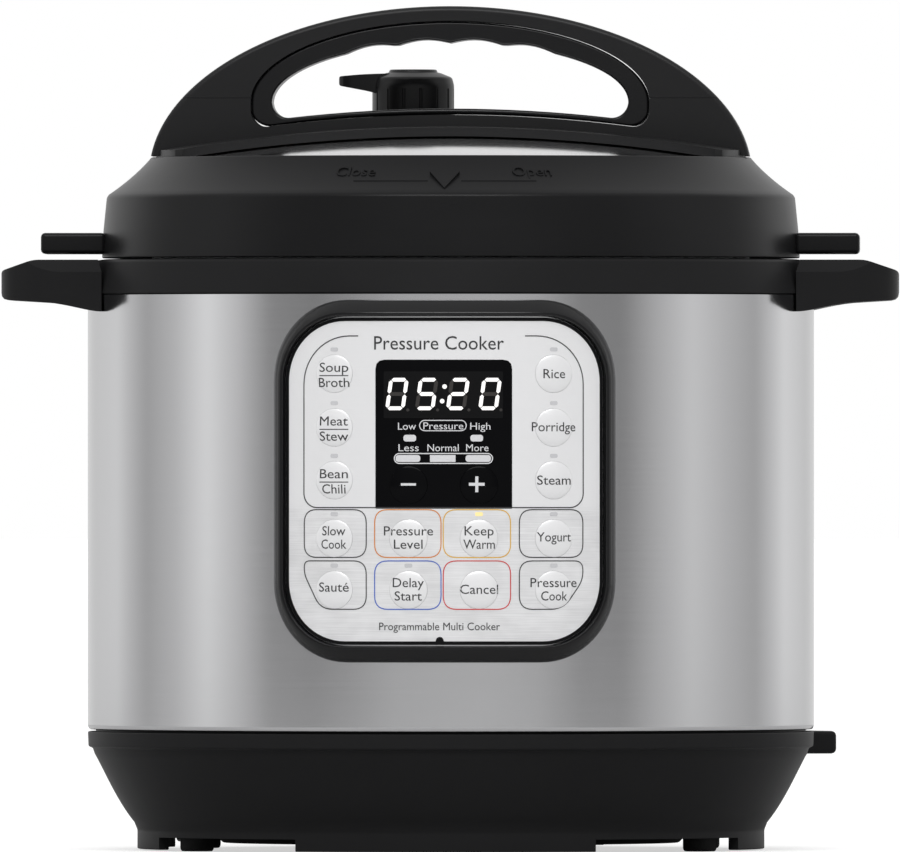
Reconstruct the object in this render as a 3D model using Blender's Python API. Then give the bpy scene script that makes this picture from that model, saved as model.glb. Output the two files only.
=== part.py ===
"""Electric pressure cooker with a twist-lock lid, a removable pot and a curved control panel.

The frame is the cooker's own: +Z up, the origin on the table under the body's axis, the control
panel facing -Y and the two side handles along X. Blender's metres; MM turns a millimetre into one.
"""

import math

import bmesh
import bpy
from mathutils import Matrix, Vector

MM = 0.001

# ---------------------------------------------------------------- driving dimensions
BODY_RADIUS = 121.0 * MM  # outside of the steel sleeve
BODY_HEIGHT = 144.7 * MM  # steel sleeve, edge to edge
BASE_HEIGHT = 39.5 * MM  # table to the rim of the base
JACKET = 29.0 * MM  # from the pot's wall to the outside of the sleeve
LID_HEIGHT = 34.0 * MM  # lid cover, lower edge to the top of its cone
HANDLE_RISE = 50.2 * MM  # top of the cone to the top of the arch
PANEL_SIDE = 108.0 * MM  # the square control plate, measured round the body
POT_DEPTH = 132.0 * MM  # inner pot, underside to rim

GAP = 0.3 * MM  # between pieces that touch
SLIP = 0.5 * MM  # between pieces that slide into each other
SHEET = 0.8 * MM  # steel sleeve
WALL = 2.5 * MM  # moulded covers
SEAM = 0.7 * MM  # shadow line between the base and the sleeve

ROUND = 40  # facets of the large turned pieces
SMALL_ROUND = 16  # facets of pins, posts and buttons

# ---------------------------------------------------------------- base and sleeve
BODY_BOTTOM = BASE_HEIGHT + SEAM
BODY_TOP = BODY_BOTTOM + BODY_HEIGHT
FOOT_RING_RADIUS = BODY_RADIUS - 16.5 * MM
FOOT_RING_WALL = 3.5 * MM
FOOT_RING_LIFT = 0.4 * MM  # the moulded ring stops this far above the table
RING_GAP_HEIGHT = 4.5 * MM
RING_GAP_MIDDLE = 42.3  # degrees from the X axis
RING_GAP_HALF = 19.3
RIM_BAND = 5.0 * MM  # straight band under the base's rim
SPIGOT_HEIGHT = 7.5 * MM  # stands up inside the sleeve
SPIGOT_RADIUS = BODY_RADIUS - 2.7 * MM

COVER_FLANGE_Z = 4.6 * MM
COVER_THICK = 2.0 * MM
PAN_RADIUS = FOOT_RING_RADIUS - 28.5 * MM
PAN_DROP = 2.2 * MM
VENT_LENGTH = 34.0 * MM
VENT_WIDTH = 3.0 * MM
VENT_PITCH = 8.0 * MM
VENT_COUNT = 5

RUBBER_FOOT_RADIUS = 5.6 * MM
RUBBER_FOOT_CIRCLE = FOOT_RING_RADIUS - 10.5 * MM
RUBBER_FOOT_ANGLE = 27.4
SCREW_CIRCLE = FOOT_RING_RADIUS - 16.5 * MM
SCREW_ANGLES = (60.0, 180.0, 300.0)
SCREW_HEAD_RADIUS = 3.5 * MM
SCREW_SHANK_RADIUS = 1.6 * MM
BOSS_RADIUS = 4.0 * MM
BOSS_HEIGHT = 9.0 * MM

INLET_ANGLE = 24.0  # degrees from +X towards the back
INLET_HALF_WIDTH = 13.0 * MM
INLET_LOW = 13.0 * MM
INLET_HIGH = 31.0 * MM
INLET_FACE = FOOT_RING_RADIUS + 5.5 * MM
INLET_DEPTH = 20.0 * MM
INLET_WALL = 2.0 * MM
HOOD_REACH = 14.0 * MM  # the rain hood over the inlet, out from the body
PIN_RADIUS = 1.6 * MM
PIN_LENGTH = 9.0 * MM
PIN_PITCH = 7.0 * MM

# ---------------------------------------------------------------- collar, pots and lock
POT_RADIUS = BODY_RADIUS - JACKET
POT_WALL = 1.0 * MM
POT_BASE = 3.0 * MM
POT_CORNER = 8.0 * MM
POT_FLANGE = 6.8 * MM
HOUSING_CLEARANCE = 5.6 * MM
HOUSING_WALL = 1.9 * MM
HOUSING_BORE = POT_RADIUS + HOUSING_CLEARANCE
HOUSING_RADIUS = HOUSING_BORE + HOUSING_WALL
POT_RIM_Z = BODY_TOP + 20.6 * MM
POT_FLANGE_THICK = 1.2 * MM
HOUSING_TOP = POT_RIM_Z - POT_FLANGE_THICK - GAP
TAB_THICK = 1.5 * MM
TAB_REACH = 6.5 * MM
TAB_COUNT = 6
TAB_HALF = 13.0  # degrees
LUG_DROP = 4.0 * MM  # housing rim down to the top of the lid's lugs
LUG_THICK = 1.8 * MM
LID_TURN = 30.0  # degrees from locked to free

COLLAR_HEIGHT = 11.6 * MM
COLLAR_LEAN = 2.4 * MM
COLLAR_LAND = 4.8 * MM  # flat top that the lid stands over
GUTTER_DEPTH = 7.6 * MM
COLLAR_TOP = BODY_TOP + GAP + COLLAR_HEIGHT
COLLAR_SKIRT = 4.0 * MM
DRAIN_HALF = 10.0  # degrees either side of the back
DRAIN_REACH = 8.0 * MM

HANDLE_TOP = COLLAR_TOP - GAP
HANDLE_REACH = 28.3 * MM  # side handle, out from the sleeve
HANDLE_HALF_WIDTH = 38.0 * MM
HANDLE_TIP_THICK = 9.6 * MM
HANDLE_ROOT_THICK = 17.3 * MM
HANDLE_CORNER = 20.0 * MM
HANDLE_EDGE_SLOPE = 4.0 * MM
SLOT_LENGTH = 33.0 * MM
SLOT_WIDTH = 9.0 * MM
SLOT_INSET = 6.5 * MM

# ---------------------------------------------------------------- lid
LID_BOTTOM = COLLAR_TOP + GAP
LID_TOP = LID_BOTTOM + LID_HEIGHT - GAP
LID_RADIUS = BODY_RADIUS - 4.7 * MM
LID_WALL_HEIGHT = 20.2 * MM
LID_WALL_LEAN = 1.6 * MM
CROWN_RADIUS = HOUSING_RADIUS + 0.3 * MM  # top edge of the cone
LIP = 1.2 * MM  # the cover's inner lip, in from that edge
STEEL = 1.5 * MM
SKIRT_RADIUS = HOUSING_RADIUS + TAB_REACH + 3.5 * MM
CROWN_RISE = 7.0 * MM  # apex of the steel crown above the cone's top edge
CROWN_CURVE = (CROWN_RISE + 1.6 * MM) / CROWN_RADIUS**2  # fall of the crown, per metre
SHOULDER_Z = LID_BOTTOM + 15.0 * MM
FIN_REACH = 20.0 * MM
FIN_HALF_WIDTH = 15.0 * MM
FIN_THICK = 7.0 * MM
FIN_LIFT = 1.4 * MM

BRIDGE_THICK = 3.0 * MM
BRIDGE_HALF_WIDTH = 30.0 * MM
BRIDGE_FLARE = 1.2  # growth of the bridge's half width, per metre of x squared
DECK_REACH = 66.0 * MM  # the valve deck, back from the middle
DECK_HALF_WIDTH = 34.0 * MM
ARCH_HALF_THICK = 15.0 * MM
ARCH_EDGE = 1.5 * MM
ARCH_SPLIT = 0.39 * HANDLE_RISE  # joint between the arch and its base, above the cone's top
HOLE_HALF_WIDTH = 0.594 * CROWN_RADIUS
HOLE_SPRING = 0.36 * HANDLE_RISE  # height of the finger hole's widest line above the cone's top
HOLE_RISE = 0.40 * HANDLE_RISE
HOLE_FLOOR = 0.32 * HANDLE_RISE
HOLE_CORNER = 5.5 * MM
HOLE_SAG = 1.07  # fall of the hole's floor, per metre of x squared
GROOVE_PITCH = 0.3 * HOLE_HALF_WIDTH
GROOVE_DEPTH = 1.3 * MM
GROOVE_COUNT = 4
INSERT_SIDE = 6.8 * MM
INSERT_FLOOR = 1.8 * MM

VALVE_AT = Vector((-13.5 * MM, 46.0 * MM))
KNOB_RADIUS = 13.7 * MM
KNOB_HEIGHT = 20.3 * MM
KNOB_CAP_RADIUS = 7.8 * MM
KNOB_BORE = 5.2 * MM
LEVER_REACH = 24.8 * MM
PIPE_RADIUS = 4.2 * MM
PIPE_HOLE = 2.0 * MM
FLOAT_AT = Vector((16.0 * MM, 47.0 * MM))
FLOAT_RADIUS = 3.0 * MM
FLOAT_TRAVEL = 5.0 * MM
SHIELD_RADIUS = 9.0 * MM

# ---------------------------------------------------------------- heater and sensor
HEATER_RADIUS = POT_RADIUS - 8.0 * MM
HEATER_THICK = 10.0 * MM
HEATER_STAND = 4.0 * MM
SENSOR_RADIUS = 16.2 * MM
SENSOR_HEIGHT = 8.0 * MM
SENSOR_STEM = 4.0 * MM
SPRING_RADIUS = 8.0 * MM
SPRING_WIRE = 0.8 * MM
SPRING_TURNS = 3
BRACKET_HALF = 30.0 * MM
BRACKET_WIDTH = 16.0 * MM
BRACKET_THICK = 1.5 * MM

# ---------------------------------------------------------------- control panel
PANEL_RADIUS = BODY_RADIUS + 3.3 * MM  # face of the control plate
PANEL_THICK = 2.4 * MM
PANEL_CORNER = 0.195 * PANEL_SIDE
BEZEL_WIDTH = 5.8 * MM
BEZEL_CREST = 1.9 * MM  # proud of the control plate
BEZEL_SLOPE = 4.2 * MM
PANEL_TOP_MARGIN = 2.1 * MM  # sleeve's top edge down to the bezel
PANEL_MIDDLE = BODY_TOP - PANEL_TOP_MARGIN - BEZEL_WIDTH - PANEL_SIDE / 2
BUTTON_RADIUS = 0.058 * PANEL_SIDE
BUTTON_DOME = 0.9 * MM
BUTTON_TRAVEL = 0.6 * MM
OUTER_COLUMN = 0.340 * PANEL_SIDE
INNER_COLUMN = 0.108 * PANEL_SIDE
UPPER_ROWS = (0.328 * PANEL_SIDE, 0.164 * PANEL_SIDE, 0.003 * PANEL_SIDE)
LOWER_ROWS = (-0.175 * PANEL_SIDE, -0.332 * PANEL_SIDE)
ADJUST_ROW = -0.012 * PANEL_SIDE
WINDOW_HALF_WIDTH = 0.209 * PANEL_SIDE
WINDOW_LOW = -0.083 * PANEL_SIDE
WINDOW_HIGH = 0.370 * PANEL_SIDE
WINDOW_CORNER = 3.0 * MM
OPENING_HALF = PANEL_SIDE / 2 - 6.0 * MM  # hole in the sleeve behind the panel
BOARD_THICK = 1.6 * MM
BOARD_CLEARANCE = 1.5 * MM  # board to the inside of the sleeve
BOARD_HALF_WIDTH = OPENING_HALF - 6.0 * MM
BOARD_HALF_HEIGHT = OPENING_HALF - 2.0 * MM

CUP_HALF = 12.5  # degrees either side of the back
CUP_HEIGHT = 33.0 * MM
CUP_DEPTH = 7.8 * MM
CUP_WALL = 1.4 * MM

PROGRAMS = {
    "soup": (-OUTER_COLUMN, UPPER_ROWS[0]),
    "meat": (-OUTER_COLUMN, UPPER_ROWS[1]),
    "bean": (-OUTER_COLUMN, UPPER_ROWS[2]),
    "rice": (OUTER_COLUMN, UPPER_ROWS[0]),
    "porridge": (OUTER_COLUMN, UPPER_ROWS[1]),
    "steam": (OUTER_COLUMN, UPPER_ROWS[2]),
    "slow_cook": (-OUTER_COLUMN, LOWER_ROWS[0]),
    "pressure_level": (-INNER_COLUMN, LOWER_ROWS[0]),
    "keep_warm": (INNER_COLUMN, LOWER_ROWS[0]),
    "yogurt": (OUTER_COLUMN, LOWER_ROWS[0]),
    "saute": (-OUTER_COLUMN, LOWER_ROWS[1]),
    "delay_start": (-INNER_COLUMN, LOWER_ROWS[1]),
    "cancel": (INNER_COLUMN, LOWER_ROWS[1]),
    "pressure_cook": (OUTER_COLUMN, LOWER_ROWS[1]),
}
ADJUSTERS = {"minus": (-INNER_COLUMN, ADJUST_ROW), "plus": (INNER_COLUMN, ADJUST_ROW)}


# ---------------------------------------------------------------- scene and materials
def clear_scene():
    for old in list(bpy.data.objects):
        bpy.data.objects.remove(old)


def material(name, colour, roughness, metallic=0.0):
    made = bpy.data.materials.new(name)
    made.use_nodes = True
    shader = made.node_tree.nodes["Principled BSDF"]
    shader.inputs["Base Color"].default_value = (*colour, 1.0)
    shader.inputs["Roughness"].default_value = roughness
    shader.inputs["Metallic"].default_value = metallic
    made.diffuse_color = (*colour, 1.0)
    return made


def make_materials():
    return {
        "black": material("black_plastic", (0.015, 0.015, 0.016), 0.38),
        "brushed": material("brushed_stainless", (0.58, 0.58, 0.59), 0.28, 1.0),
        "polished": material("polished_stainless", (0.68, 0.68, 0.69), 0.12, 1.0),
        "aluminium": material("cast_aluminium", (0.55, 0.56, 0.57), 0.45, 1.0),
        "silver": material("panel_silver", (0.78, 0.78, 0.80), 0.32),
        "button": material("button_white", (0.80, 0.80, 0.82), 0.35),
        "window": material("display_black", (0.004, 0.004, 0.005), 0.08),
        "silicone": material("clear_silicone", (0.62, 0.63, 0.62), 0.5),
        "rubber": material("foot_rubber", (0.012, 0.012, 0.012), 0.8),
        "board": material("circuit_board", (0.03, 0.16, 0.06), 0.5),
        "brass": material("brass_contact", (0.70, 0.52, 0.25), 0.3, 1.0),
        "cup": material("collector_plastic", (0.42, 0.44, 0.45), 0.15),
    }


# ---------------------------------------------------------------- shape helpers
def finish_object(name, mesh_data, surface, smooth_angle=35.0):
    bmesh.ops.recalc_face_normals(mesh_data, faces=mesh_data.faces)
    mesh = bpy.data.meshes.new(name)
    mesh_data.to_mesh(mesh)
    mesh_data.free()
    if surface is not None:
        mesh.materials.append(surface)
    mesh.shade_smooth()
    mesh.set_sharp_from_angle(angle=math.radians(smooth_angle))
    made = bpy.data.objects.new(name, mesh)
    bpy.context.scene.collection.objects.link(made)
    return made


def turned(name, profile, surface, steps=ROUND, at=(0.0, 0.0)):
    """A closed (radius, height) outline spun round a vertical axis; it may start and end on the axis."""
    shape = bmesh.new()
    points = [shape.verts.new((radius, 0.0, height)) for radius, height in profile]
    pairs = list(zip(points, points[1:] + points[:1]))
    edges = [
        shape.edges.new((a, b)) for a, b in pairs if not (a.co.x == 0.0 and b.co.x == 0.0)
    ]
    bmesh.ops.spin(
        shape,
        geom=points + edges,
        axis=(0.0, 0.0, 1.0),
        cent=(0.0, 0.0, 0.0),
        steps=steps,
        angle=math.tau,
        use_merge=True,
    )
    bmesh.ops.remove_doubles(shape, verts=shape.verts, dist=1e-6)
    shape.normal_update()
    centres = [vert for vert in shape.verts if math.hypot(vert.co.x, vert.co.y) < 1e-7]
    flat = [vert for vert in centres if all(abs(face.normal.z) > 0.9999 for face in vert.link_faces)]
    bmesh.ops.dissolve_verts(shape, verts=flat)
    made = finish_object(name, shape, surface)
    made.location = (at[0], at[1], 0.0)
    return made


def prism(name, outline, start, end, surface, along="Z"):
    """An outline pushed along an axis; its points are (x, y) for Z, (x, z) for Y and (y, z) for X."""
    place = {
        "X": lambda a, b, depth: (depth, a, b),
        "Y": lambda a, b, depth: (a, depth, b),
        "Z": lambda a, b, depth: (a, b, depth),
    }[along]
    shape = bmesh.new()
    points = [shape.verts.new(place(a, b, start)) for a, b in outline]
    push = Vector(place(0.0, 0.0, end - start))
    face = shape.faces.new(points)
    grown = bmesh.ops.extrude_face_region(shape, geom=[face])
    moved = [item for item in grown["geom"] if isinstance(item, bmesh.types.BMVert)]
    bmesh.ops.translate(shape, verts=moved, vec=push)
    return finish_object(name, shape, surface)


def block(name, low, high, surface=None, turn=0.0):
    """A box between two corners, turned round the Z axis through the origin by an angle in degrees."""
    outline = [(low[0], low[1]), (high[0], low[1]), (high[0], high[1]), (low[0], high[1])]
    made = prism(name, outline, low[2], high[2], surface)
    made.rotation_euler.z = math.radians(turn)
    return made


def arc(centre, radius, start, end, steps):
    """Points on a circle from one angle to another, both in degrees and both included."""
    angles = [math.radians(start + (end - start) * i / steps) for i in range(steps + 1)]
    return [(centre[0] + radius * math.cos(a), centre[1] + radius * math.sin(a)) for a in angles]


def sector(name, inner, outer, low, high, middle, half, surface=None, steps=8):
    """A block curved round the Z axis; middle and half are degrees from the X axis."""
    outline = arc((0, 0), outer, middle - half, middle + half, steps)
    outline += arc((0, 0), inner, middle + half, middle - half, steps)
    return prism(name, outline, low, high, surface)


def bezier(p0, p1, p2, p3, steps):
    points = []
    for i in range(steps + 1):
        t = i / steps
        weights = ((1 - t) ** 3, 3 * t * (1 - t) ** 2, 3 * t * t * (1 - t), t**3)
        points.append(tuple(sum(w * p[k] for w, p in zip(weights, (p0, p1, p2, p3))) for k in (0, 1)))
    return points


def rounded_square(half_width, low, high, corner, steps=4):
    """Outline of a rectangle with round corners, from the lower left corner anticlockwise."""
    corners = (
        ((-half_width + corner, low + corner), 180, 270),
        ((half_width - corner, low + corner), 270, 360),
        ((half_width - corner, high - corner), 0, 90),
        ((-half_width + corner, high - corner), 90, 180),
    )
    outline = []
    for centre, start, end in corners:
        outline += arc(centre, corner, start, end, steps)
    return outline


def round_panel(radius, along, height):
    """The point at a distance measured round the panel's face, on a cylinder of a given radius."""
    angle = along / PANEL_RADIUS
    return (radius * math.sin(angle), -radius * math.cos(angle), PANEL_MIDDLE + height)


def as_tool(tool):
    tool.hide_render = True
    tool.display_type = "WIRE"
    return tool


def combine(target, tool, operation):
    step = target.modifiers.new(f"{operation.lower()}_{tool.name}", "BOOLEAN")
    step.operation = operation
    step.solver = "EXACT"
    step.object = as_tool(tool)


def cut(target, *tools):
    for tool in tools:
        combine(target, tool, "DIFFERENCE")


def join(target, *tools):
    for tool in tools:
        combine(target, tool, "UNION")


def ring_of_cutters(name, inner, outer, low, high, half, first):
    """Sectors between the bayonet tabs, as separate cutters."""
    pitch = 360.0 / TAB_COUNT
    return [
        sector(f"{name}_{i}", inner, outer, low, high, first + pitch * i, half, steps=4)
        for i in range(TAB_COUNT)
    ]


def hold(parent, *children):
    for child in children:
        child.parent = parent


def empty(name, at=(0.0, 0.0, 0.0), parent=None):
    made = bpy.data.objects.new(name, None)
    made.location = at
    bpy.context.scene.collection.objects.link(made)
    made.parent = parent
    return made


# ---------------------------------------------------------------- base
def bowl_curve():
    """The base's side from under its rim band down to its foot ring."""
    top = (BODY_RADIUS - 2.3 * MM, BASE_HEIGHT - RIM_BAND - 2.5 * MM)
    bottom = (FOOT_RING_RADIUS + 1.0 * MM, 9.2 * MM)
    return bezier(
        top,
        (BODY_RADIUS - 5.2 * MM, top[1] - 5.0 * MM),
        (bottom[0] + 6.0 * MM, bottom[1] + 7.3 * MM),
        bottom,
        4,
    )


def base_housing(surfaces):
    curve = bowl_curve()
    ring_inside = FOOT_RING_RADIUS - FOOT_RING_WALL
    inside = [(radius - 2.6 * MM, height + 1.2 * MM) for radius, height in reversed(curve)]
    profile = [
        (BODY_RADIUS, BASE_HEIGHT),
        (BODY_RADIUS - 0.2 * MM, BASE_HEIGHT - RIM_BAND),
        *curve,
        (FOOT_RING_RADIUS, curve[-1][1] - 2.5 * MM),
        (FOOT_RING_RADIUS, FOOT_RING_LIFT),
        (ring_inside, FOOT_RING_LIFT),
        (ring_inside, curve[-1][1] - 2.0 * MM),
        *inside,
        (SPIGOT_RADIUS - WALL, BASE_HEIGHT - RIM_BAND + 1.0 * MM),
        (SPIGOT_RADIUS - WALL, BASE_HEIGHT + SPIGOT_HEIGHT),
        (SPIGOT_RADIUS, BASE_HEIGHT + SPIGOT_HEIGHT),
        (SPIGOT_RADIUS, BASE_HEIGHT),
    ]
    base = turned("base_housing", profile, surfaces["black"])
    for side in (0, 1):
        for mirror in (-1, 1):
            middle = 180.0 * side + mirror * RING_GAP_MIDDLE
            cut(
                base,
                sector(
                    f"ring_gap_{side}_{mirror}",
                    ring_inside - 2 * MM,
                    FOOT_RING_RADIUS + 2 * MM,
                    -MM,
                    RING_GAP_HEIGHT,
                    middle,
                    RING_GAP_HALF,
                    steps=4,
                ),
            )
    hood = block(
        "inlet_hood",
        (BODY_RADIUS - 4.0 * MM, -INLET_HALF_WIDTH, INLET_HIGH + 2 * GAP),
        (BODY_RADIUS + HOOD_REACH, INLET_HALF_WIDTH, BASE_HEIGHT - GAP),
        turn=INLET_ANGLE,
    )
    join(base, hood)
    for i, angle in enumerate(SCREW_ANGLES):
        join(base, *screw_boss(i, angle))
    slack = Vector((SLIP, SLIP, SLIP))
    low, high = inlet_corners()
    mouth = high + slack
    mouth.x = BODY_RADIUS + 5.0 * MM
    cut(base, block("inlet_mouth", low - slack, mouth, turn=INLET_ANGLE))
    return base


def screw_boss(index, angle):
    """A post with a pilot hole over a screw, and the rib that ties it to the foot ring."""
    low = COVER_FLANGE_Z + COVER_THICK + GAP
    top = low + BOSS_HEIGHT
    bore = SCREW_SHANK_RADIUS + GAP
    at = Matrix.Rotation(math.radians(angle), 3, "Z") @ Vector((SCREW_CIRCLE, 0.0, 0.0))
    profile = [
        (bore, low),
        (BOSS_RADIUS, low),
        (BOSS_RADIUS, top),
        (0.0, top),
        (0.0, top - 1.5 * MM),
        (bore, top - 1.5 * MM),
    ]
    post = turned(f"boss_{index}", profile, None, 12, at)
    rib = block(
        f"boss_rib_{index}",
        (SCREW_CIRCLE + (BOSS_RADIUS + bore) / 2, -1.2 * MM, low + 0.5 * MM),
        (FOOT_RING_RADIUS - 1.0 * MM, 1.2 * MM, low + BOSS_HEIGHT - 5.5 * MM),
        turn=angle,
    )
    return post, rib


def base_screw(index, angle, surfaces):
    at = Matrix.Rotation(math.radians(angle), 3, "Z") @ Vector((SCREW_CIRCLE, 0.0, 0.0))
    seat = COVER_FLANGE_Z - GAP
    tip = COVER_FLANGE_Z + COVER_THICK + BOSS_HEIGHT - 2.0 * MM
    profile = [
        (0.0, seat - 1.6 * MM),
        (SCREW_HEAD_RADIUS - 0.6 * MM, seat - 1.6 * MM),
        (SCREW_HEAD_RADIUS, seat - 1.0 * MM),
        (SCREW_HEAD_RADIUS, seat),
        (SCREW_SHANK_RADIUS, seat),
        (SCREW_SHANK_RADIUS, tip - 1.0 * MM),
        (0.0, tip),
    ]
    return turned(f"base_screw_{index + 1}", profile, surfaces["polished"], 12, at)


def bottom_cover(surfaces):
    pan_z = COVER_FLANGE_Z - PAN_DROP
    rim = FOOT_RING_RADIUS - FOOT_RING_WALL - SLIP
    profile = [
        (0.0, pan_z),
        (PAN_RADIUS, pan_z),
        (PAN_RADIUS + 2.0 * MM, COVER_FLANGE_Z),
        (rim, COVER_FLANGE_Z),
        (rim, COVER_FLANGE_Z + COVER_THICK),
        (PAN_RADIUS + 1.0 * MM, COVER_FLANGE_Z + COVER_THICK),
        (PAN_RADIUS - 1.0 * MM, pan_z + COVER_THICK),
        (0.0, pan_z + COVER_THICK),
    ]
    cover = turned("bottom_cover", profile, surfaces["black"])
    for i in range(VENT_COUNT):
        y = (i - (VENT_COUNT - 1) / 2) * VENT_PITCH
        slot = block(
            f"vent_{i}",
            (-VENT_LENGTH, y - VENT_WIDTH / 2, 0.0),
            (VENT_LENGTH, y + VENT_WIDTH / 2, pan_z + 2 * COVER_THICK),
        )
        cut(cover, slot)
    for i, angle in enumerate(SCREW_ANGLES):
        at = Matrix.Rotation(math.radians(angle), 3, "Z") @ Vector((SCREW_CIRCLE, 0.0, 0.0))
        radius = SCREW_SHANK_RADIUS + SLIP
        hole = [(0.0, 0.0), (radius, 0.0), (radius, 2 * COVER_FLANGE_Z), (0.0, 2 * COVER_FLANGE_Z)]
        cut(cover, turned(f"cover_hole_{i}", hole, None, 12, at))
    for i, (x, y) in enumerate(board_corners()):
        foot = pan_z + COVER_THICK - 0.5 * MM
        top = power_board_z() - GAP
        post = [(0.0, foot), (3.0 * MM, foot), (3.0 * MM, top), (0.0, top)]
        join(cover, turned(f"post_{i}", post, None, 12, (x, y)))
    return cover


def rubber_feet(surfaces):
    feet = []
    places = {
        "front_left": 180.0 + RUBBER_FOOT_ANGLE,
        "front_right": -RUBBER_FOOT_ANGLE,
        "rear_left": 180.0 - RUBBER_FOOT_ANGLE,
        "rear_right": RUBBER_FOOT_ANGLE,
    }
    top = COVER_FLANGE_Z - GAP
    profile = [
        (0.0, 0.0),
        (RUBBER_FOOT_RADIUS - 0.5 * MM, 0.0),
        (RUBBER_FOOT_RADIUS, 0.5 * MM),
        (RUBBER_FOOT_RADIUS, top),
        (0.0, top),
    ]
    for place, angle in places.items():
        at = Matrix.Rotation(math.radians(angle), 3, "Z") @ Vector((RUBBER_FOOT_CIRCLE, 0, 0))
        feet.append(turned(f"foot_{place}", profile, surfaces["rubber"], SMALL_ROUND, at))
    return feet


def inlet_corners():
    """Box of the inlet before it is turned to its place on the base."""
    low = Vector((INLET_FACE - INLET_DEPTH, -INLET_HALF_WIDTH, INLET_LOW))
    high = Vector((INLET_FACE, INLET_HALF_WIDTH, INLET_HIGH))
    return low, high


def power_inlet(surfaces):
    low, high = inlet_corners()
    inlet = block("power_inlet", low, high, surfaces["black"], INLET_ANGLE)
    wall = Vector((INLET_WALL, INLET_WALL, INLET_WALL))
    mouth = high - wall
    mouth.x = high.x + MM
    cut(inlet, block("inlet_recess", low + wall, mouth, turn=INLET_ANGLE))
    pins = []
    middle = (INLET_LOW + INLET_HIGH) / 2
    places = {"live": (-PIN_PITCH, -2.0 * MM), "earth": (0.0, 2.5 * MM), "neutral": (PIN_PITCH, -2.0 * MM)}
    for name, (across, up) in places.items():
        pin = turned(
            f"inlet_pin_{name}",
            [(0.0, 0.0), (PIN_RADIUS, 0.0), (PIN_RADIUS, PIN_LENGTH - MM), (0.9 * MM, PIN_LENGTH), (0.0, PIN_LENGTH)],
            surfaces["brass"],
            12,
        )
        turn = Matrix.Rotation(math.radians(INLET_ANGLE), 4, "Z")
        seat = Matrix.Translation((low.x + INLET_WALL + GAP, across, middle + up))
        pin.matrix_world = turn @ seat @ Matrix.Rotation(math.radians(90.0), 4, "Y")
        pins.append(pin)
    return [inlet, *pins]


# ---------------------------------------------------------------- sleeve and collar
def outer_body(surfaces):
    inner = BODY_RADIUS - SHEET
    profile = [
        (BODY_RADIUS, BODY_TOP),
        (BODY_RADIUS, BODY_BOTTOM + 1.0 * MM),
        (BODY_RADIUS - 0.6 * MM, BODY_BOTTOM),
        (SPIGOT_RADIUS + SLIP, BODY_BOTTOM),
        (SPIGOT_RADIUS + SLIP, BODY_BOTTOM + SHEET),
        (inner, BODY_BOTTOM + SHEET + 0.4 * MM),
        (inner, BODY_TOP),
    ]
    body = turned("outer_body", profile, surfaces["brushed"])
    opening = rounded_square(
        OPENING_HALF, PANEL_MIDDLE - OPENING_HALF, PANEL_MIDDLE + OPENING_HALF, PANEL_CORNER
    )
    front = -BODY_RADIUS - 5.0 * MM
    cut(body, prism("panel_opening", opening, front, front / 2, None, along="Y"))
    return body


def cooker_collar(surfaces):
    low = BODY_TOP + GAP
    land = BODY_RADIUS - COLLAR_LEAN - COLLAR_LAND
    neck = HOUSING_RADIUS + SLIP
    gutter = COLLAR_TOP - GUTTER_DEPTH
    skirt_out = BODY_RADIUS - SHEET - SLIP
    profile = [
        (BODY_RADIUS + 0.2 * MM, low),
        (BODY_RADIUS - COLLAR_LEAN, COLLAR_TOP - 0.6 * MM),
        (BODY_RADIUS - COLLAR_LEAN - 0.6 * MM, COLLAR_TOP),
        (land, COLLAR_TOP),
        (land - 0.6 * MM, gutter),
        (neck + 2.2 * MM, gutter),
        (neck + 1.8 * MM, gutter + 3.8 * MM),
        (neck, gutter + 3.8 * MM),
        (neck, gutter - 2.4 * MM),
        (skirt_out - 2.3 * MM, gutter - 2.4 * MM),
        (skirt_out - 2.3 * MM, low - COLLAR_SKIRT),
        (skirt_out, low - COLLAR_SKIRT),
        (skirt_out, low),
    ]
    collar = turned("cooker_collar", profile, surfaces["black"])
    spout = sector(
        "drain_spout",
        BODY_RADIUS - 5.0 * MM,
        BODY_RADIUS + DRAIN_REACH,
        low + 1.8 * MM,
        low + 6.0 * MM,
        90.0,
        DRAIN_HALF,
    )
    join(collar, spout)
    return collar


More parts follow.
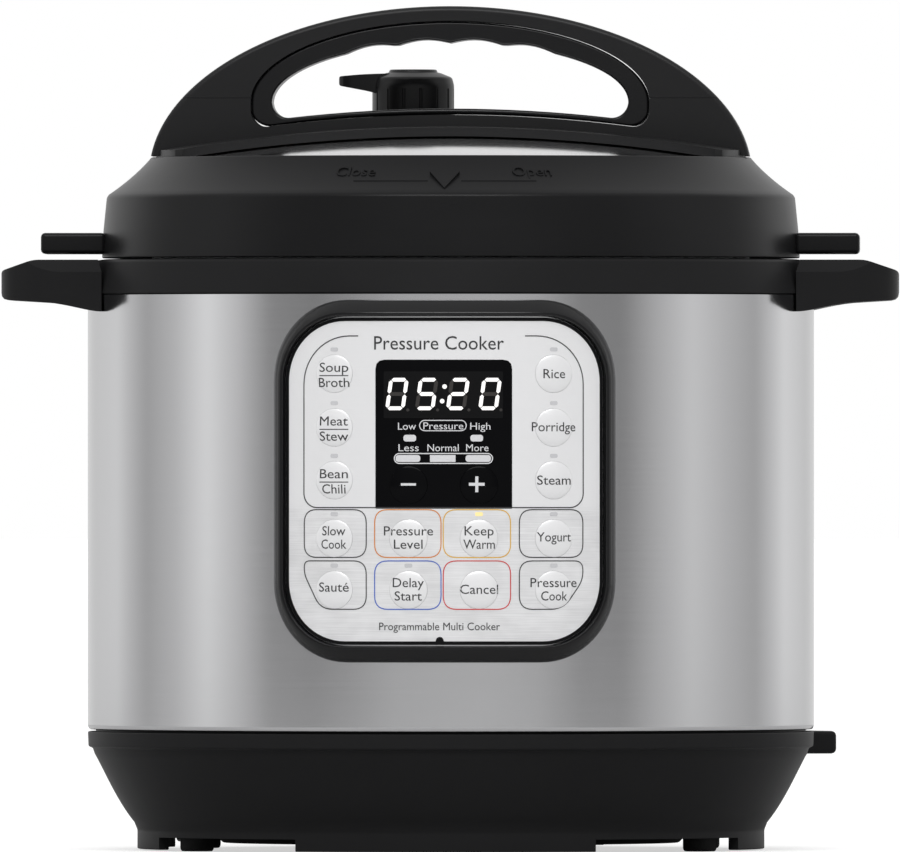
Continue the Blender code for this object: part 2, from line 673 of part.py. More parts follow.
def side_handle(name, side, surfaces):
    """The front-view outline and the plan outline, each pushed through the other."""
    root = BODY_RADIUS - 20.0 * MM
    tip = BODY_RADIUS + HANDLE_REACH
    low_root = HANDLE_TOP - HANDLE_ROOT_THICK
    tip_top = HANDLE_TOP - 3.7 * MM
    front_view = [
        (root, low_root),
        (BODY_RADIUS - 6.0 * MM, low_root),
        (BODY_RADIUS + 9.0 * MM, tip_top - HANDLE_TIP_THICK - 1.6 * MM),
        (tip, tip_top - HANDLE_TIP_THICK),
        (tip, tip_top),
        (tip - 2.4 * MM, tip_top + 0.8 * MM),
        (BODY_RADIUS + 17.3 * MM, HANDLE_TOP),
        (root, HANDLE_TOP),
    ]
    handle = prism(
        name,
        [(side * x, z) for x, z in front_view],
        -HANDLE_HALF_WIDTH - 5 * MM,
        HANDLE_HALF_WIDTH + 5 * MM,
        surfaces["black"],
        along="Y",
    )
    corner_x = tip - HANDLE_CORNER
    corner_y = HANDLE_HALF_WIDTH - HANDLE_CORNER
    plan = [(root, -HANDLE_HALF_WIDTH)]
    plan += arc((corner_x, -corner_y), HANDLE_CORNER, -90, 0, 6)
    plan += arc((corner_x, corner_y), HANDLE_CORNER, 0, 90, 6)
    plan += [(root, HANDLE_HALF_WIDTH)]
    plan_tool = prism(
        f"{name}_plan",
        [(side * x, y) for x, y in plan],
        low_root - 5 * MM,
        HANDLE_TOP + 5 * MM,
        None,
    )
    combine(handle, plan_tool, "INTERSECT")
    edge = HANDLE_EDGE_SLOPE
    xs = sorted((side * (root - 5 * MM), side * (tip + 5 * MM)))
    for mirror in (-1, 1):
        y = mirror * HANDLE_HALF_WIDTH
        wedge = [
            (y + mirror * edge, HANDLE_TOP - 2 * edge),
            (y - mirror * 1.5 * edge, HANDLE_TOP + 0.5 * edge),
            (y + mirror * edge, HANDLE_TOP + edge),
        ]
        cut(handle, prism(f"{name}_slope_{mirror}", wedge, *xs, None, along="X"))
    body = [
        (0.0, low_root - 5 * MM),
        (BODY_RADIUS + SLIP, low_root - 5 * MM),
        (BODY_RADIUS + SLIP, HANDLE_TOP + 5 * MM),
        (0.0, HANDLE_TOP + 5 * MM),
    ]
    cut(handle, turned(f"{name}_seat", body, None))
    slot_in = BODY_RADIUS + SLOT_INSET
    xs = sorted((side * slot_in, side * (slot_in + SLOT_WIDTH)))
    slot = block(
        f"{name}_slot",
        (xs[0], -SLOT_LENGTH / 2, low_root - 5 * MM),
        (xs[1], SLOT_LENGTH / 2, HANDLE_TOP + 5 * MM),
    )
    cut(handle, slot)
    return handle


def condensation_cup(surfaces):
    inner = BODY_RADIUS + SLIP
    outer = inner + CUP_DEPTH
    top = BODY_TOP + GAP
    low = top - CUP_HEIGHT
    cup = sector("condensation_cup", inner, outer, low, top, 90.0, CUP_HALF, surfaces["cup"])
    hollow = sector(
        "cup_hollow",
        inner + CUP_WALL,
        outer - CUP_WALL,
        low + CUP_WALL,
        top + MM,
        90.0,
        CUP_HALF - math.degrees(CUP_WALL / inner),
    )
    cut(cup, hollow)
    return cup


# ---------------------------------------------------------------- pots and heater
def pot_floor():
    return POT_RIM_Z - POT_DEPTH


def inner_pot(surfaces):
    low = pot_floor()
    bore = POT_RADIUS - POT_WALL
    outside = arc((POT_RADIUS - POT_CORNER, low + POT_CORNER), POT_CORNER, -90, 0, 3)
    inside_corner = POT_CORNER - POT_WALL
    inside = arc((bore - inside_corner, low + POT_BASE + inside_corner), inside_corner, 0, -90, 3)
    profile = [
        (0.0, low),
        *outside,
        (POT_RADIUS, POT_RIM_Z - POT_FLANGE_THICK),
        (POT_RADIUS + POT_FLANGE, POT_RIM_Z - POT_FLANGE_THICK),
        (POT_RADIUS + POT_FLANGE, POT_RIM_Z),
        (bore, POT_RIM_Z),
        *inside,
        (0.0, low + POT_BASE),
    ]
    return turned("inner_pot", profile, surfaces["polished"])


def housing_floor():
    return pot_floor() - GAP - HEATER_THICK - HEATER_STAND - GAP


def pressure_housing(surfaces):
    top = housing_floor()
    low = top - HOUSING_WALL
    reach = HOUSING_RADIUS + TAB_REACH
    profile = [
        (24.0 * MM, low),
        (HOUSING_RADIUS - 6.0 * MM, low),
        (HOUSING_RADIUS, low + 6.0 * MM),
        (HOUSING_RADIUS, HOUSING_TOP - TAB_THICK),
        (reach, HOUSING_TOP - TAB_THICK),
        (reach, HOUSING_TOP),
        (HOUSING_BORE, HOUSING_TOP),
        (HOUSING_BORE, top + 5.0 * MM),
        (HOUSING_BORE - 5.0 * MM, top),
        (24.0 * MM, top),
    ]
    housing = turned("pressure_housing", profile, surfaces["aluminium"])
    half_gap = 180.0 / TAB_COUNT - TAB_HALF
    notches = ring_of_cutters(
        "tab_gap",
        HOUSING_RADIUS + 0.8 * MM,
        reach + 3 * MM,
        HOUSING_TOP - 2 * TAB_THICK,
        HOUSING_TOP + MM,
        half_gap,
        180.0 / TAB_COUNT,
    )
    cut(housing, *notches)
    return housing


def heating_plate(surfaces):
    top = pot_floor() - GAP
    low = top - HEATER_THICK
    bore = SENSOR_RADIUS + 0.8 * MM
    profile = [
        (bore, low),
        (HEATER_RADIUS - 24.0 * MM, low),
        (HEATER_RADIUS - 24.0 * MM, low - HEATER_STAND),
        (HEATER_RADIUS - 14.0 * MM, low - HEATER_STAND),
        (HEATER_RADIUS - 14.0 * MM, low),
        (HEATER_RADIUS - 3.0 * MM, low),
        (HEATER_RADIUS, low + 2.5 * MM),
        (HEATER_RADIUS, top - 2.0 * MM),
        (HEATER_RADIUS - 2.0 * MM, top),
        (bore, top),
    ]
    return turned("heating_plate", profile, surfaces["aluminium"])


def bracket_z():
    return housing_floor() - HOUSING_WALL - 5.5 * MM


def sensor_parts(surfaces):
    top = pot_floor() - GAP
    low = top - SENSOR_HEIGHT
    tip = bracket_z() - BRACKET_THICK - 2.0 * MM
    button = turned(
        "temperature_sensor",
        [
            (0.0, tip),
            (SENSOR_STEM, tip),
            (SENSOR_STEM, low),
            (SENSOR_RADIUS, low),
            (SENSOR_RADIUS, top - MM),
            (SENSOR_RADIUS - MM, top),
            (0.0, top),
        ],
        surfaces["aluminium"],
        24,
    )
    bracket = block(
        "sensor_bracket",
        (-BRACKET_HALF, -BRACKET_WIDTH / 2, bracket_z() - BRACKET_THICK),
        (BRACKET_HALF, BRACKET_WIDTH / 2, bracket_z()),
        surfaces["brushed"],
    )
    ear_top = housing_floor() - HOUSING_WALL - GAP
    for side in (-1, 1):
        xs = sorted((side * (BRACKET_HALF - BRACKET_THICK), side * BRACKET_HALF))
        ear = block(
            f"bracket_ear_{side}",
            (xs[0], -BRACKET_WIDTH / 2 + MM, bracket_z() - MM),
            (xs[1], BRACKET_WIDTH / 2 - MM, ear_top),
        )
        join(bracket, ear)
    stem_hole = SENSOR_STEM + SLIP
    z_low, z_high = bracket_z() - 5 * MM, bracket_z() + 5 * MM
    hole = [(0.0, z_low), (stem_hole, z_low), (stem_hole, z_high), (0.0, z_high)]
    cut(bracket, turned("stem_hole", hole, None, SMALL_ROUND))
    under = bracket_z() - BRACKET_THICK - GAP
    switch = block(
        "pressure_switch",
        (12.0 * MM, -6.0 * MM, under - 9.0 * MM),
        (28.0 * MM, 6.0 * MM, under),
        surfaces["black"],
    )
    return button, bracket, switch, sensor_spring(bracket_z() + GAP, low - GAP, surfaces)


def sensor_spring(low, high, surfaces):
    """A helix between the bracket and the sensor's disc."""
    path = bpy.data.curves.new("sensor_spring", "CURVE")
    path.dimensions = "3D"
    path.bevel_depth = SPRING_WIRE
    path.bevel_resolution = 0
    path.use_fill_caps = True
    steps = 12 * SPRING_TURNS
    coil = path.splines.new("POLY")
    coil.points.add(steps)
    first, last = low + SPRING_WIRE + 0.1 * MM, high - SPRING_WIRE - 0.1 * MM
    for i in range(steps + 1):
        turn = math.tau * SPRING_TURNS * i / steps
        z = first + (last - first) * i / steps
        coil.points[i].co = (SPRING_RADIUS * math.cos(turn), SPRING_RADIUS * math.sin(turn), z, 1.0)
    path.materials.append(surfaces["polished"])
    made = bpy.data.objects.new("sensor_spring", path)
    bpy.context.scene.collection.objects.link(made)
    return made


def power_board_z():
    return COVER_FLANGE_Z + 9.4 * MM


def board_corners():
    return [(sx * 38.0 * MM, sy * 24.0 * MM) for sx in (-1, 1) for sy in (-1, 1)]


def power_board(surfaces):
    low = power_board_z()
    top = low + BOARD_THICK
    board = block(
        "power_board", (-44.0 * MM, -30.0 * MM, low), (44.0 * MM, 30.0 * MM, top), surfaces["board"]
    )
    seat = top - 0.5 * MM
    transformer = block("transformer", (-34 * MM, -6 * MM, seat), (-10 * MM, 14 * MM, top + 15 * MM))
    relay = block("relay", (4 * MM, -16 * MM, seat), (22 * MM, -2 * MM, top + 14 * MM))
    capacitor = turned(
        "capacitor",
        [(0.0, seat), (5 * MM, seat), (5 * MM, top + 13 * MM), (0.0, top + 13 * MM)],
        None,
        12,
        (28 * MM, 12 * MM),
    )
    join(board, transformer, relay, capacitor)
    return board


# ---------------------------------------------------------------- control panel
def panel_loop(inset, radius, steps=5):
    """A rounded square round the panel, inset from the bezel's outside, on a cylinder."""
    half = PANEL_SIDE / 2 + BEZEL_WIDTH - inset
    corner = PANEL_CORNER + BEZEL_WIDTH - inset
    points = []
    straight = 8
    corners = (
        ((half - corner, half - corner), 0),
        ((-half + corner, half - corner), 90),
        ((-half + corner, -half + corner), 180),
        ((half - corner, -half + corner), 270),
    )
    for index, (centre, start) in enumerate(corners):
        turn = arc(centre, corner, start, start + 90, steps)
        points += turn
        following, angle = corners[(index + 1) % 4]
        end = arc(following, corner, angle, angle, 1)[0]
        for i in range(1, straight):
            t = i / straight
            points.append(tuple(turn[-1][k] + (end[k] - turn[-1][k]) * t for k in (0, 1)))
    return [round_panel(radius, along, height) for along, height in points]


def panel_bezel(surfaces):
    seat = BODY_RADIUS + GAP
    crest = PANEL_RADIUS + BEZEL_CREST
    inner = BEZEL_WIDTH - GAP
    loops = [
        panel_loop(0.0, seat),
        panel_loop(0.0, seat + 1.0 * MM),
        panel_loop(BEZEL_SLOPE, crest),
        panel_loop(inner, crest - 0.4 * MM),
        panel_loop(inner, seat),
    ]
    shape = bmesh.new()
    rings = [[shape.verts.new(point) for point in loop] for loop in loops]
    for ring, following in zip(rings, rings[1:] + rings[:1]):
        for i in range(len(ring)):
            j = (i + 1) % len(ring)
            shape.faces.new((ring[i], ring[j], following[j], following[i]))
    return finish_object("panel_bezel", shape, surfaces["black"])


def panel_prism(name, outline):
    """An outline drawn round the panel's face, pushed straight out from the body's axis."""
    shape = bmesh.new()
    rings = []
    for depth in (0.86 * PANEL_RADIUS, 1.02 * PANEL_RADIUS):
        places = [(depth * math.tan(a / PANEL_RADIUS), -depth, PANEL_MIDDLE + h) for a, h in outline]
        rings.append([shape.verts.new(place) for place in places])
    near, far = rings
    shape.faces.new(near)
    shape.faces.new(far[::-1])
    for i in range(len(near)):
        j = (i + 1) % len(near)
        shape.faces.new((near[i], far[i], far[j], near[j]))
    return finish_object(name, shape, None)


def curved_slab(name, outline, inner, outer, surface):
    """A slab round the body, trimmed to an outline drawn on the panel's face."""
    highest = max(abs(along) for along, _ in outline)
    half = math.degrees(highest / PANEL_RADIUS) + 2.0
    low = PANEL_MIDDLE + min(height for _, height in outline) - 5 * MM
    high = PANEL_MIDDLE + max(height for _, height in outline) + 5 * MM
    slab = sector(name, inner, outer, low, high, -90.0, half, surface, steps=12)
    combine(slab, panel_prism(f"{name}_trim", outline), "INTERSECT")
    return slab


def window_outline(grow):
    half = WINDOW_HALF_WIDTH + grow
    low, high = WINDOW_LOW - grow, WINDOW_HIGH + grow
    corner = WINDOW_CORNER + grow
    top = arc((half - corner, high - corner), corner, 0, 90, 3)
    top += arc((-half + corner, high - corner), corner, 90, 180, 3)
    return [(-half, low), (half, low), *top]


def place_on_panel(made, along, height):
    """Local +Z becomes the outward direction of the panel at that place."""
    angle = along / PANEL_RADIUS
    out = Vector((math.sin(angle), -math.cos(angle), 0.0))
    side = Vector((math.cos(angle), math.sin(angle), 0.0))
    turn = Matrix((side, Vector((0, 0, 1)), out)).transposed()
    if turn.determinant() < 0:
        turn = Matrix((-side, Vector((0, 0, 1)), out)).transposed()
    made.matrix_world = Matrix.Translation(round_panel(PANEL_RADIUS, along, height)) @ turn.to_4x4()


def button_hole(name, along, height):
    radius = BUTTON_RADIUS + GAP
    tool = turned(
        f"hole_{name}",
        [(0.0, -6 * MM), (radius, -6 * MM), (radius, 6 * MM), (0.0, 6 * MM)],
        None,
        SMALL_ROUND,
    )
    place_on_panel(tool, along, height)
    return tool


def panel_button(name, along, height, surface):
    low = -PANEL_THICK + BUTTON_TRAVEL + GAP
    profile = [
        (0.0, low),
        (BUTTON_RADIUS, low),
        (BUTTON_RADIUS, 0.0),
        (BUTTON_RADIUS * 0.6, BUTTON_DOME * 0.8),
        (0.0, BUTTON_DOME),
    ]
    made = turned(f"button_{name}", profile, surface, SMALL_ROUND)
    place_on_panel(made, along, height)
    return made


def control_panel(surfaces):
    half = PANEL_SIDE / 2
    outline = rounded_square(half, -half, half, PANEL_CORNER, 5)
    plate = curved_slab(
        "panel_plate", outline, PANEL_RADIUS - PANEL_THICK, PANEL_RADIUS, surfaces["silver"]
    )
    cut(plate, panel_prism("window_opening", window_outline(GAP)))
    window = curved_slab(
        "display_window",
        window_outline(0.0),
        PANEL_RADIUS - PANEL_THICK,
        PANEL_RADIUS,
        surfaces["window"],
    )
    buttons = []
    for name, (along, height) in PROGRAMS.items():
        cut(plate, button_hole(name, along, height))
        buttons.append(panel_button(name, along, height, surfaces["button"]))
    for name, (along, height) in ADJUSTERS.items():
        cut(window, button_hole(name, along, height))
        buttons.append(panel_button(name, along, height, surfaces["window"]))
    return plate, window, buttons


def control_board(surfaces):
    back = -math.sqrt((BODY_RADIUS - SHEET - BOARD_CLEARANCE) ** 2 - BOARD_HALF_WIDTH**2)
    board = block(
        "control_board",
        (-BOARD_HALF_WIDTH, back, PANEL_MIDDLE - BOARD_HALF_HEIGHT),
        (BOARD_HALF_WIDTH, back + BOARD_THICK, PANEL_MIDDLE + BOARD_HALF_HEIGHT),
        surfaces["board"],
    )
    front = -math.sqrt((PANEL_RADIUS - PANEL_THICK - SLIP) ** 2 - WINDOW_HALF_WIDTH**2)
    digits = block(
        "digit_module",
        (-WINDOW_HALF_WIDTH + 2 * MM, front, PANEL_MIDDLE + 0.47 * WINDOW_HIGH),
        (WINDOW_HALF_WIDTH - 2 * MM, back + 0.5 * MM, PANEL_MIDDLE + WINDOW_HIGH - 3 * MM),
    )
    join(board, digits)
    return board


# ---------------------------------------------------------------- lid
def crown_height(x, y):
    """Top of the steel crown over a point of the lid."""
    return LID_TOP + CROWN_RISE - CROWN_CURVE * (x * x + y * y)


def round_hole(name, at, radius, low, high):
    return turned(name, [(0.0, low), (radius, low), (radius, high), (0.0, high)], None, SMALL_ROUND, at)


def lid_steel(surfaces):
    edge = CROWN_RADIUS - 2.8 * MM
    steps = 4
    crown = [(edge * i / steps, crown_height(edge * i / steps, 0.0)) for i in range(steps + 1)]
    under = [(radius, height - STEEL) for radius, height in reversed(crown[:-1])]
    neck = HOUSING_RADIUS + 1.3 * MM
    lugs_top = HOUSING_TOP - LUG_DROP
    lugs_low = lugs_top - LUG_THICK
    lug_reach = HOUSING_RADIUS + 3.0 * MM
    profile = [
        *crown,
        (neck - 1.3 * MM, LID_TOP - 3.5 * MM),
        (neck - 0.3 * MM, LID_TOP - 7.0 * MM),
        (neck, SHOULDER_Z + 2.5 * MM),
        (neck + 2.2 * MM, SHOULDER_Z + 0.5 * MM),
        (SKIRT_RADIUS - 1.0 * MM, SHOULDER_Z),
        (SKIRT_RADIUS, SHOULDER_Z - 1.5 * MM),
        (SKIRT_RADIUS, lugs_low),
        (lug_reach, lugs_low),
        (lug_reach, lugs_top),
        (SKIRT_RADIUS - STEEL, lugs_top),
        (SKIRT_RADIUS - STEEL, SHOULDER_Z - 1.9 * MM),
        (neck + 1.8 * MM, SHOULDER_Z - 1.0 * MM),
        (neck - STEEL, SHOULDER_Z + 1.2 * MM),
        (neck - STEEL - 0.3 * MM, LID_TOP - 7.4 * MM),
        (edge - 1.0 * MM, LID_TOP - 4.6 * MM),
        *under,
    ]
    lid = turned("lid_steel", profile, surfaces["brushed"])
    notches = ring_of_cutters(
        "lug_gap",
        lug_reach - 3 * MM,
        SKIRT_RADIUS - STEEL,
        lugs_low - MM,
        lugs_top + MM,
        180.0 / TAB_COUNT - TAB_HALF,
        180.0 / TAB_COUNT,
    )
    cut(lid, *notches)
    low, high = LID_BOTTOM, LID_TOP + 20 * MM
    cut(lid, round_hole("pipe_hole", VALVE_AT, PIPE_RADIUS + GAP, low, high))
    cut(lid, round_hole("float_hole", FLOAT_AT, FLOAT_RADIUS + SLIP, low, high))
    return lid


def lid_cover(surfaces):
    shoulder_r = LID_RADIUS - LID_WALL_LEAN
    shoulder_z = LID_BOTTOM + LID_WALL_HEIGHT
    cone_r = shoulder_r - 0.7 * MM
    cone_z = shoulder_z + 1.0 * MM
    lip_z = crown_height(CROWN_RADIUS - LIP, 0.0) + GAP
    profile = [
        (CROWN_RADIUS - LIP, LID_TOP - 0.4 * MM),
        (CROWN_RADIUS, LID_TOP),
        (cone_r, cone_z),
        (shoulder_r, shoulder_z),
        (shoulder_r + 1.1 * MM, shoulder_z - 11.0 * MM),
        (LID_RADIUS, LID_BOTTOM),
        (LID_RADIUS - WALL, LID_BOTTOM),
        (shoulder_r + 1.1 * MM - WALL, shoulder_z - 11.0 * MM),
        (shoulder_r - WALL, shoulder_z - 1.0 * MM),
        (CROWN_RADIUS + 1.7 * MM, LID_TOP - 4.6 * MM),
        (CROWN_RADIUS + 0.5 * MM, LID_TOP - 2.4 * MM),
        (CROWN_RADIUS - LIP, lip_z),
    ]
    cover = turned("lid_cover", profile, surfaces["black"])
    low = LID_BOTTOM + FIN_LIFT
    for side in (-1, 1):
        inner = LID_RADIUS - 0.6 * WALL
        xs = sorted((side * inner, side * (LID_RADIUS + FIN_REACH)))
        fin = block(
            f"lid_fin_{side}",
            (xs[0], -FIN_HALF_WIDTH, low),
            (xs[1], FIN_HALF_WIDTH, low + FIN_THICK),
        )
        join(cover, fin)
    return cover


def bridge_half_width(x):
    return BRIDGE_HALF_WIDTH + BRIDGE_FLARE * x * x


def deck_back(x):
    """Back edge of the bridge, with the valve deck standing out behind its middle."""
    edge = bridge_half_width(x)
    run = (DECK_HALF_WIDTH - abs(x)) / (12.0 * MM)
    blend = max(0.0, min(1.0, run))
    blend = blend * blend * (3 - 2 * blend)
    return edge + (DECK_REACH - edge) * blend


def bridge_plate(half_length):
    """The moulded plate that lies over the crown, from the front edge to the valve deck."""
    columns, rows = 20, 4
    shape = bmesh.new()
    top, under = [], []
    for i in range(columns + 1):
        x = half_length * (2 * i / columns - 1)
        front, back = -bridge_half_width(x), deck_back(x)
        reach = math.sqrt(max(0.0, half_length**2 - x * x)) + 0.1 * MM
        front, back = max(front, -reach), min(back, reach)
        line = [front + (back - front) * j / rows for j in range(rows + 1)]
        crown = [crown_height(x, y) + SLIP for y in line]
        under.append([shape.verts.new((x, y, z)) for y, z in zip(line, crown)])
        top.append([shape.verts.new((x, y, z + BRIDGE_THICK)) for y, z in zip(line, crown)])
    for i in range(columns):
        for j in range(rows):
            shape.faces.new((top[i][j], top[i + 1][j], top[i + 1][j + 1], top[i][j + 1]))
            shape.faces.new((under[i][j], under[i][j + 1], under[i + 1][j + 1], under[i + 1][j]))
    edge = [(i, 0) for i in range(columns)] + [(columns, j) for j in range(rows)]
    edge += [(i, rows) for i in range(columns, 0, -1)] + [(0, j) for j in range(rows, 0, -1)]
    for (i, j), (k, m) in zip(edge, edge[1:] + edge[:1]):
        shape.faces.new((top[i][j], under[i][j], under[k][m], top[k][m]))
    return shape


def arch_outline(inset=0.0):
    """The handle's outside: half an ellipse standing on the lid."""
    half = CROWN_RADIUS + 0.5 * MM - inset
    foot = LID_TOP - 6.0 * MM
    rise = LID_TOP + HANDLE_RISE - foot - inset
    return [
        (half * math.cos(math.radians(a)), foot + rise * math.sin(math.radians(a)))
        for a in range(180, -1, -6)
    ]


def hole_outline(side, floor, rise, grooves):
    """The finger hole, or the insert round it: a flat-bottomed half ellipse.

    side and floor are how far the outline stands outside the finger hole's own.
    """
    half = HOLE_HALF_WIDTH + side
    spring = LID_TOP + HOLE_SPRING
    corner = HOLE_CORNER
    corner_x = half - corner
    base = LID_TOP + HOLE_FLOOR - floor
    floor_z = [base - HOLE_SAG * x * x for x in (corner_x, 0.0)]
    points = []
    for i in range(9):
        x = corner_x * (i / 4 - 1)
        points.append((x, floor_z[1] - HOLE_SAG * x * x))
    centre = (corner_x, floor_z[0] + corner)
    points += arc(centre, corner, -70, -10, 3)
    top_points = []
    for a in range(0, 181, 6 if not grooves else 4):
        x = half * math.cos(math.radians(a))
        z = spring + rise * math.sin(math.radians(a))
        if grooves and abs(x) < GROOVE_PITCH * GROOVE_COUNT / 2:
            z += GROOVE_DEPTH * abs(math.sin(math.pi * x / GROOVE_PITCH)) - 0.2 * MM
        top_points.append((x, z))
    points += top_points
    points += [(-x, z) for x, z in reversed(arc(centre, corner, -70, -10, 3))]
    return points


def insert_outline(grow=0.0):
    return hole_outline(INSERT_SIDE + grow, INSERT_FLOOR + grow, HOLE_RISE + INSERT_SIDE + grow, False)


def bevelled(target, width):
    edge = target.modifiers.new("soft_edge", "BEVEL")
    edge.width = width
    edge.segments = 1
    edge.limit_method = "ANGLE"
    edge.angle_limit = math.radians(50.0)


def handle_parts(surfaces):
    front, back = -ARCH_HALF_THICK, ARCH_HALF_THICK
    split = LID_TOP + ARCH_SPLIT
    outline = arch_outline()
    upper = prism("handle_arch", outline, front, back, surfaces["black"], along="Y")
    bevelled(upper, ARCH_EDGE)
    wide = CROWN_RADIUS + 20 * MM
    deep = ARCH_HALF_THICK + 10 * MM
    below = block("arch_below", (-wide, -deep, LID_TOP - 20 * MM), (wide, deep, split))
    opening = prism("insert_opening", insert_outline(GAP), -deep, deep, None, along="Y")
    cut(upper, below, opening)

    lower = finish_object("handle_base", bridge_plate(CROWN_RADIUS - LIP - GAP), surfaces["black"])
    pillars = prism("handle_pillars", outline, front, back, None, along="Y")
    bevelled(pillars, ARCH_EDGE)
    crown_tool = finish_object("crown_below", crown_volume(), None)
    above = block("pillars_above", (-wide, -deep, split - GAP), (wide, deep, split + 80 * MM))
    cut(pillars, above, crown_tool)
    join(lower, pillars)
    clear = CROWN_RADIUS - LIP - GAP
    rim = [(clear, LID_BOTTOM), (wide, LID_BOTTOM), (wide, LID_TOP + GAP), (clear, LID_TOP + GAP)]
    cut(lower, turned("cover_rim_space", rim, None))
    cut(lower, opening)
    insert = prism("handle_insert", insert_outline(), front + MM, back - MM, surfaces["black"], along="Y")
    finger_hole = prism(
        "finger_hole", hole_outline(0.0, 0.0, HOLE_RISE, True), -deep, deep, None, along="Y"
    )
    cut(insert, finger_hole)
    low, high = LID_BOTTOM, LID_TOP + 30 * MM
    cut(lower, round_hole("deck_pipe_hole", VALVE_AT, PIPE_RADIUS + SLIP, low, high))
    cut(lower, round_hole("deck_float_hole", FLOAT_AT, FLOAT_RADIUS + SLIP + MM, low, high))
    return upper, lower, insert


def crown_volume():
    """Everything under a surface that lies just inside the bridge plate, to trim the pillars to it."""
    shape = bmesh.new()
    columns, rows = 20, 4
    wide, deep = CROWN_RADIUS + 5 * MM, ARCH_HALF_THICK + 5 * MM
    top, under = [], []
    for i in range(columns + 1):
        x = wide * (2 * i / columns - 1)
        line = [deep * (2 * j / rows - 1) for j in range(rows + 1)]
        top.append([shape.verts.new((x, y, crown_height(x, y) + SLIP + 1.2 * MM)) for y in line])
        under.append([shape.verts.new((x, y, LID_TOP - 30 * MM)) for y in line])
    for i in range(columns):
        for j in range(rows):
            shape.faces.new((top[i][j], top[i + 1][j], top[i + 1][j + 1], top[i][j + 1]))
            shape.faces.new((under[i][j], under[i][j + 1], under[i + 1][j + 1], under[i + 1][j]))
    edge = [(i, 0) for i in range(columns)] + [(columns, j) for j in range(rows)]
    edge += [(i, rows) for i in range(columns, 0, -1)] + [(0, j) for j in range(rows, 0, -1)]
    for (i, j), (k, m) in zip(edge, edge[1:] + edge[:1]):
        shape.faces.new((top[i][j], under[i][j], under[k][m], top[k][m]))
    return shape


def deck_top(at):
    return crown_height(at.x, at.y) + SLIP + BRIDGE_THICK


def steam_valve(surfaces):
    low = deck_top(VALVE_AT) + 0.9 * MM
    pipe_low = crown_height(VALVE_AT.x, VALVE_AT.y) - 8.0 * MM
    pipe_top = low + 10.0 * MM
    pipe = turned(
        "steam_pipe",
        [
            (PIPE_HOLE, pipe_low),
            (PIPE_RADIUS, pipe_low),
            (PIPE_RADIUS, pipe_top - 3.0 * MM),
            (PIPE_HOLE + 0.6 * MM, pipe_top),
            (PIPE_HOLE, pipe_top),
        ],
        surfaces["polished"],
        SMALL_ROUND,
        VALVE_AT,
    )
    weight_low = pipe_top + GAP
    weight_top = low + KNOB_HEIGHT - 4.5 * MM
    weight = turned(
        "valve_weight",
        [
            (0.0, weight_low),
            (KNOB_BORE - 0.6 * MM, weight_low),
            (KNOB_BORE - 0.6 * MM, weight_top),
            (0.0, weight_top),
        ],
        surfaces["polished"],
        SMALL_ROUND,
        VALVE_AT,
    )
    top = low + KNOB_HEIGHT
    knob = turned(
        "steam_release_knob",
        [
            (KNOB_BORE, low),
            (KNOB_RADIUS, low),
            (KNOB_RADIUS, top - 5.0 * MM),
            (KNOB_RADIUS - 0.7 * MM, top - 2.7 * MM),
            (KNOB_CAP_RADIUS + 1.0 * MM, top - 0.9 * MM),
            (KNOB_CAP_RADIUS, top),
            (0.0, top),
            (0.0, weight_top + GAP),
            (KNOB_BORE, weight_top + GAP),
        ][::-1],
        surfaces["black"],
        24,
        VALVE_AT,
    )
    return pipe, weight, knob, lever(knob, top)


def lever(knob, top):
    """A tapered finger tab that grows out of the knob towards -X."""
    root = KNOB_BORE + 2.0 * MM
    side_view = [
        (-root, top - 10.0 * MM),
        (-KNOB_RADIUS - 0.5 * MM, top - 7.4 * MM),
        (-LEVER_REACH, top - 5.2 * MM),
        (-LEVER_REACH, top - 2.4 * MM),
        (-KNOB_RADIUS + 2.0 * MM, top - 1.4 * MM),
        (-root, top - 1.4 * MM),
    ]
    tab = prism("lever_tab", side_view, -5.0 * MM, 5.0 * MM, None, along="Y")
    tab.location = (VALVE_AT.x, VALVE_AT.y, 0.0)
    join(knob, tab)
    return tab


def float_valve(surfaces):
    top = deck_top(FLOAT_AT) - 0.6 * MM
    under = crown_height(FLOAT_AT.x, FLOAT_AT.y) - STEEL
    flange_top = under - FLOAT_TRAVEL - 1.0 * MM
    low = flange_top - 2.0 * MM
    pin = turned(
        "float_valve",
        [
            (0.0, low),
            (FLOAT_RADIUS + 2.0 * MM, low),
            (FLOAT_RADIUS + 2.0 * MM, flange_top),
            (FLOAT_RADIUS, flange_top),
            (FLOAT_RADIUS, top),
            (0.0, top),
        ],
        surfaces["polished"],
        SMALL_ROUND,
        FLOAT_AT,
    )
    cap_top = low - GAP
    cap = turned(
        "float_seal_cap",
        [
            (0.0, cap_top - 2.2 * MM),
            (FLOAT_RADIUS + 2.5 * MM, cap_top - 2.2 * MM),
            (FLOAT_RADIUS + 2.5 * MM, cap_top),
            (0.0, cap_top),
        ],
        surfaces["silicone"],
        SMALL_ROUND,
        FLOAT_AT,
    )
    return pin, cap


def pipe_shield(surfaces):
    """The strainer cap that keeps food out of the steam pipe."""
    top = crown_height(VALVE_AT.x, VALVE_AT.y) - STEEL - 1.5 * MM
    low = top - 9.0 * MM
    bore = PIPE_RADIUS + SLIP
    wall = 1.2 * MM
    profile = [
        (0.0, low),
        (SHIELD_RADIUS, low),
        (SHIELD_RADIUS, top),
        (bore, top),
        (bore, top - wall),
        (SHIELD_RADIUS - wall, top - wall),
        (SHIELD_RADIUS - wall, low + wall),
        (0.0, low + wall),
    ]
    return turned("pipe_shield", profile, surfaces["polished"], SMALL_ROUND, VALVE_AT)


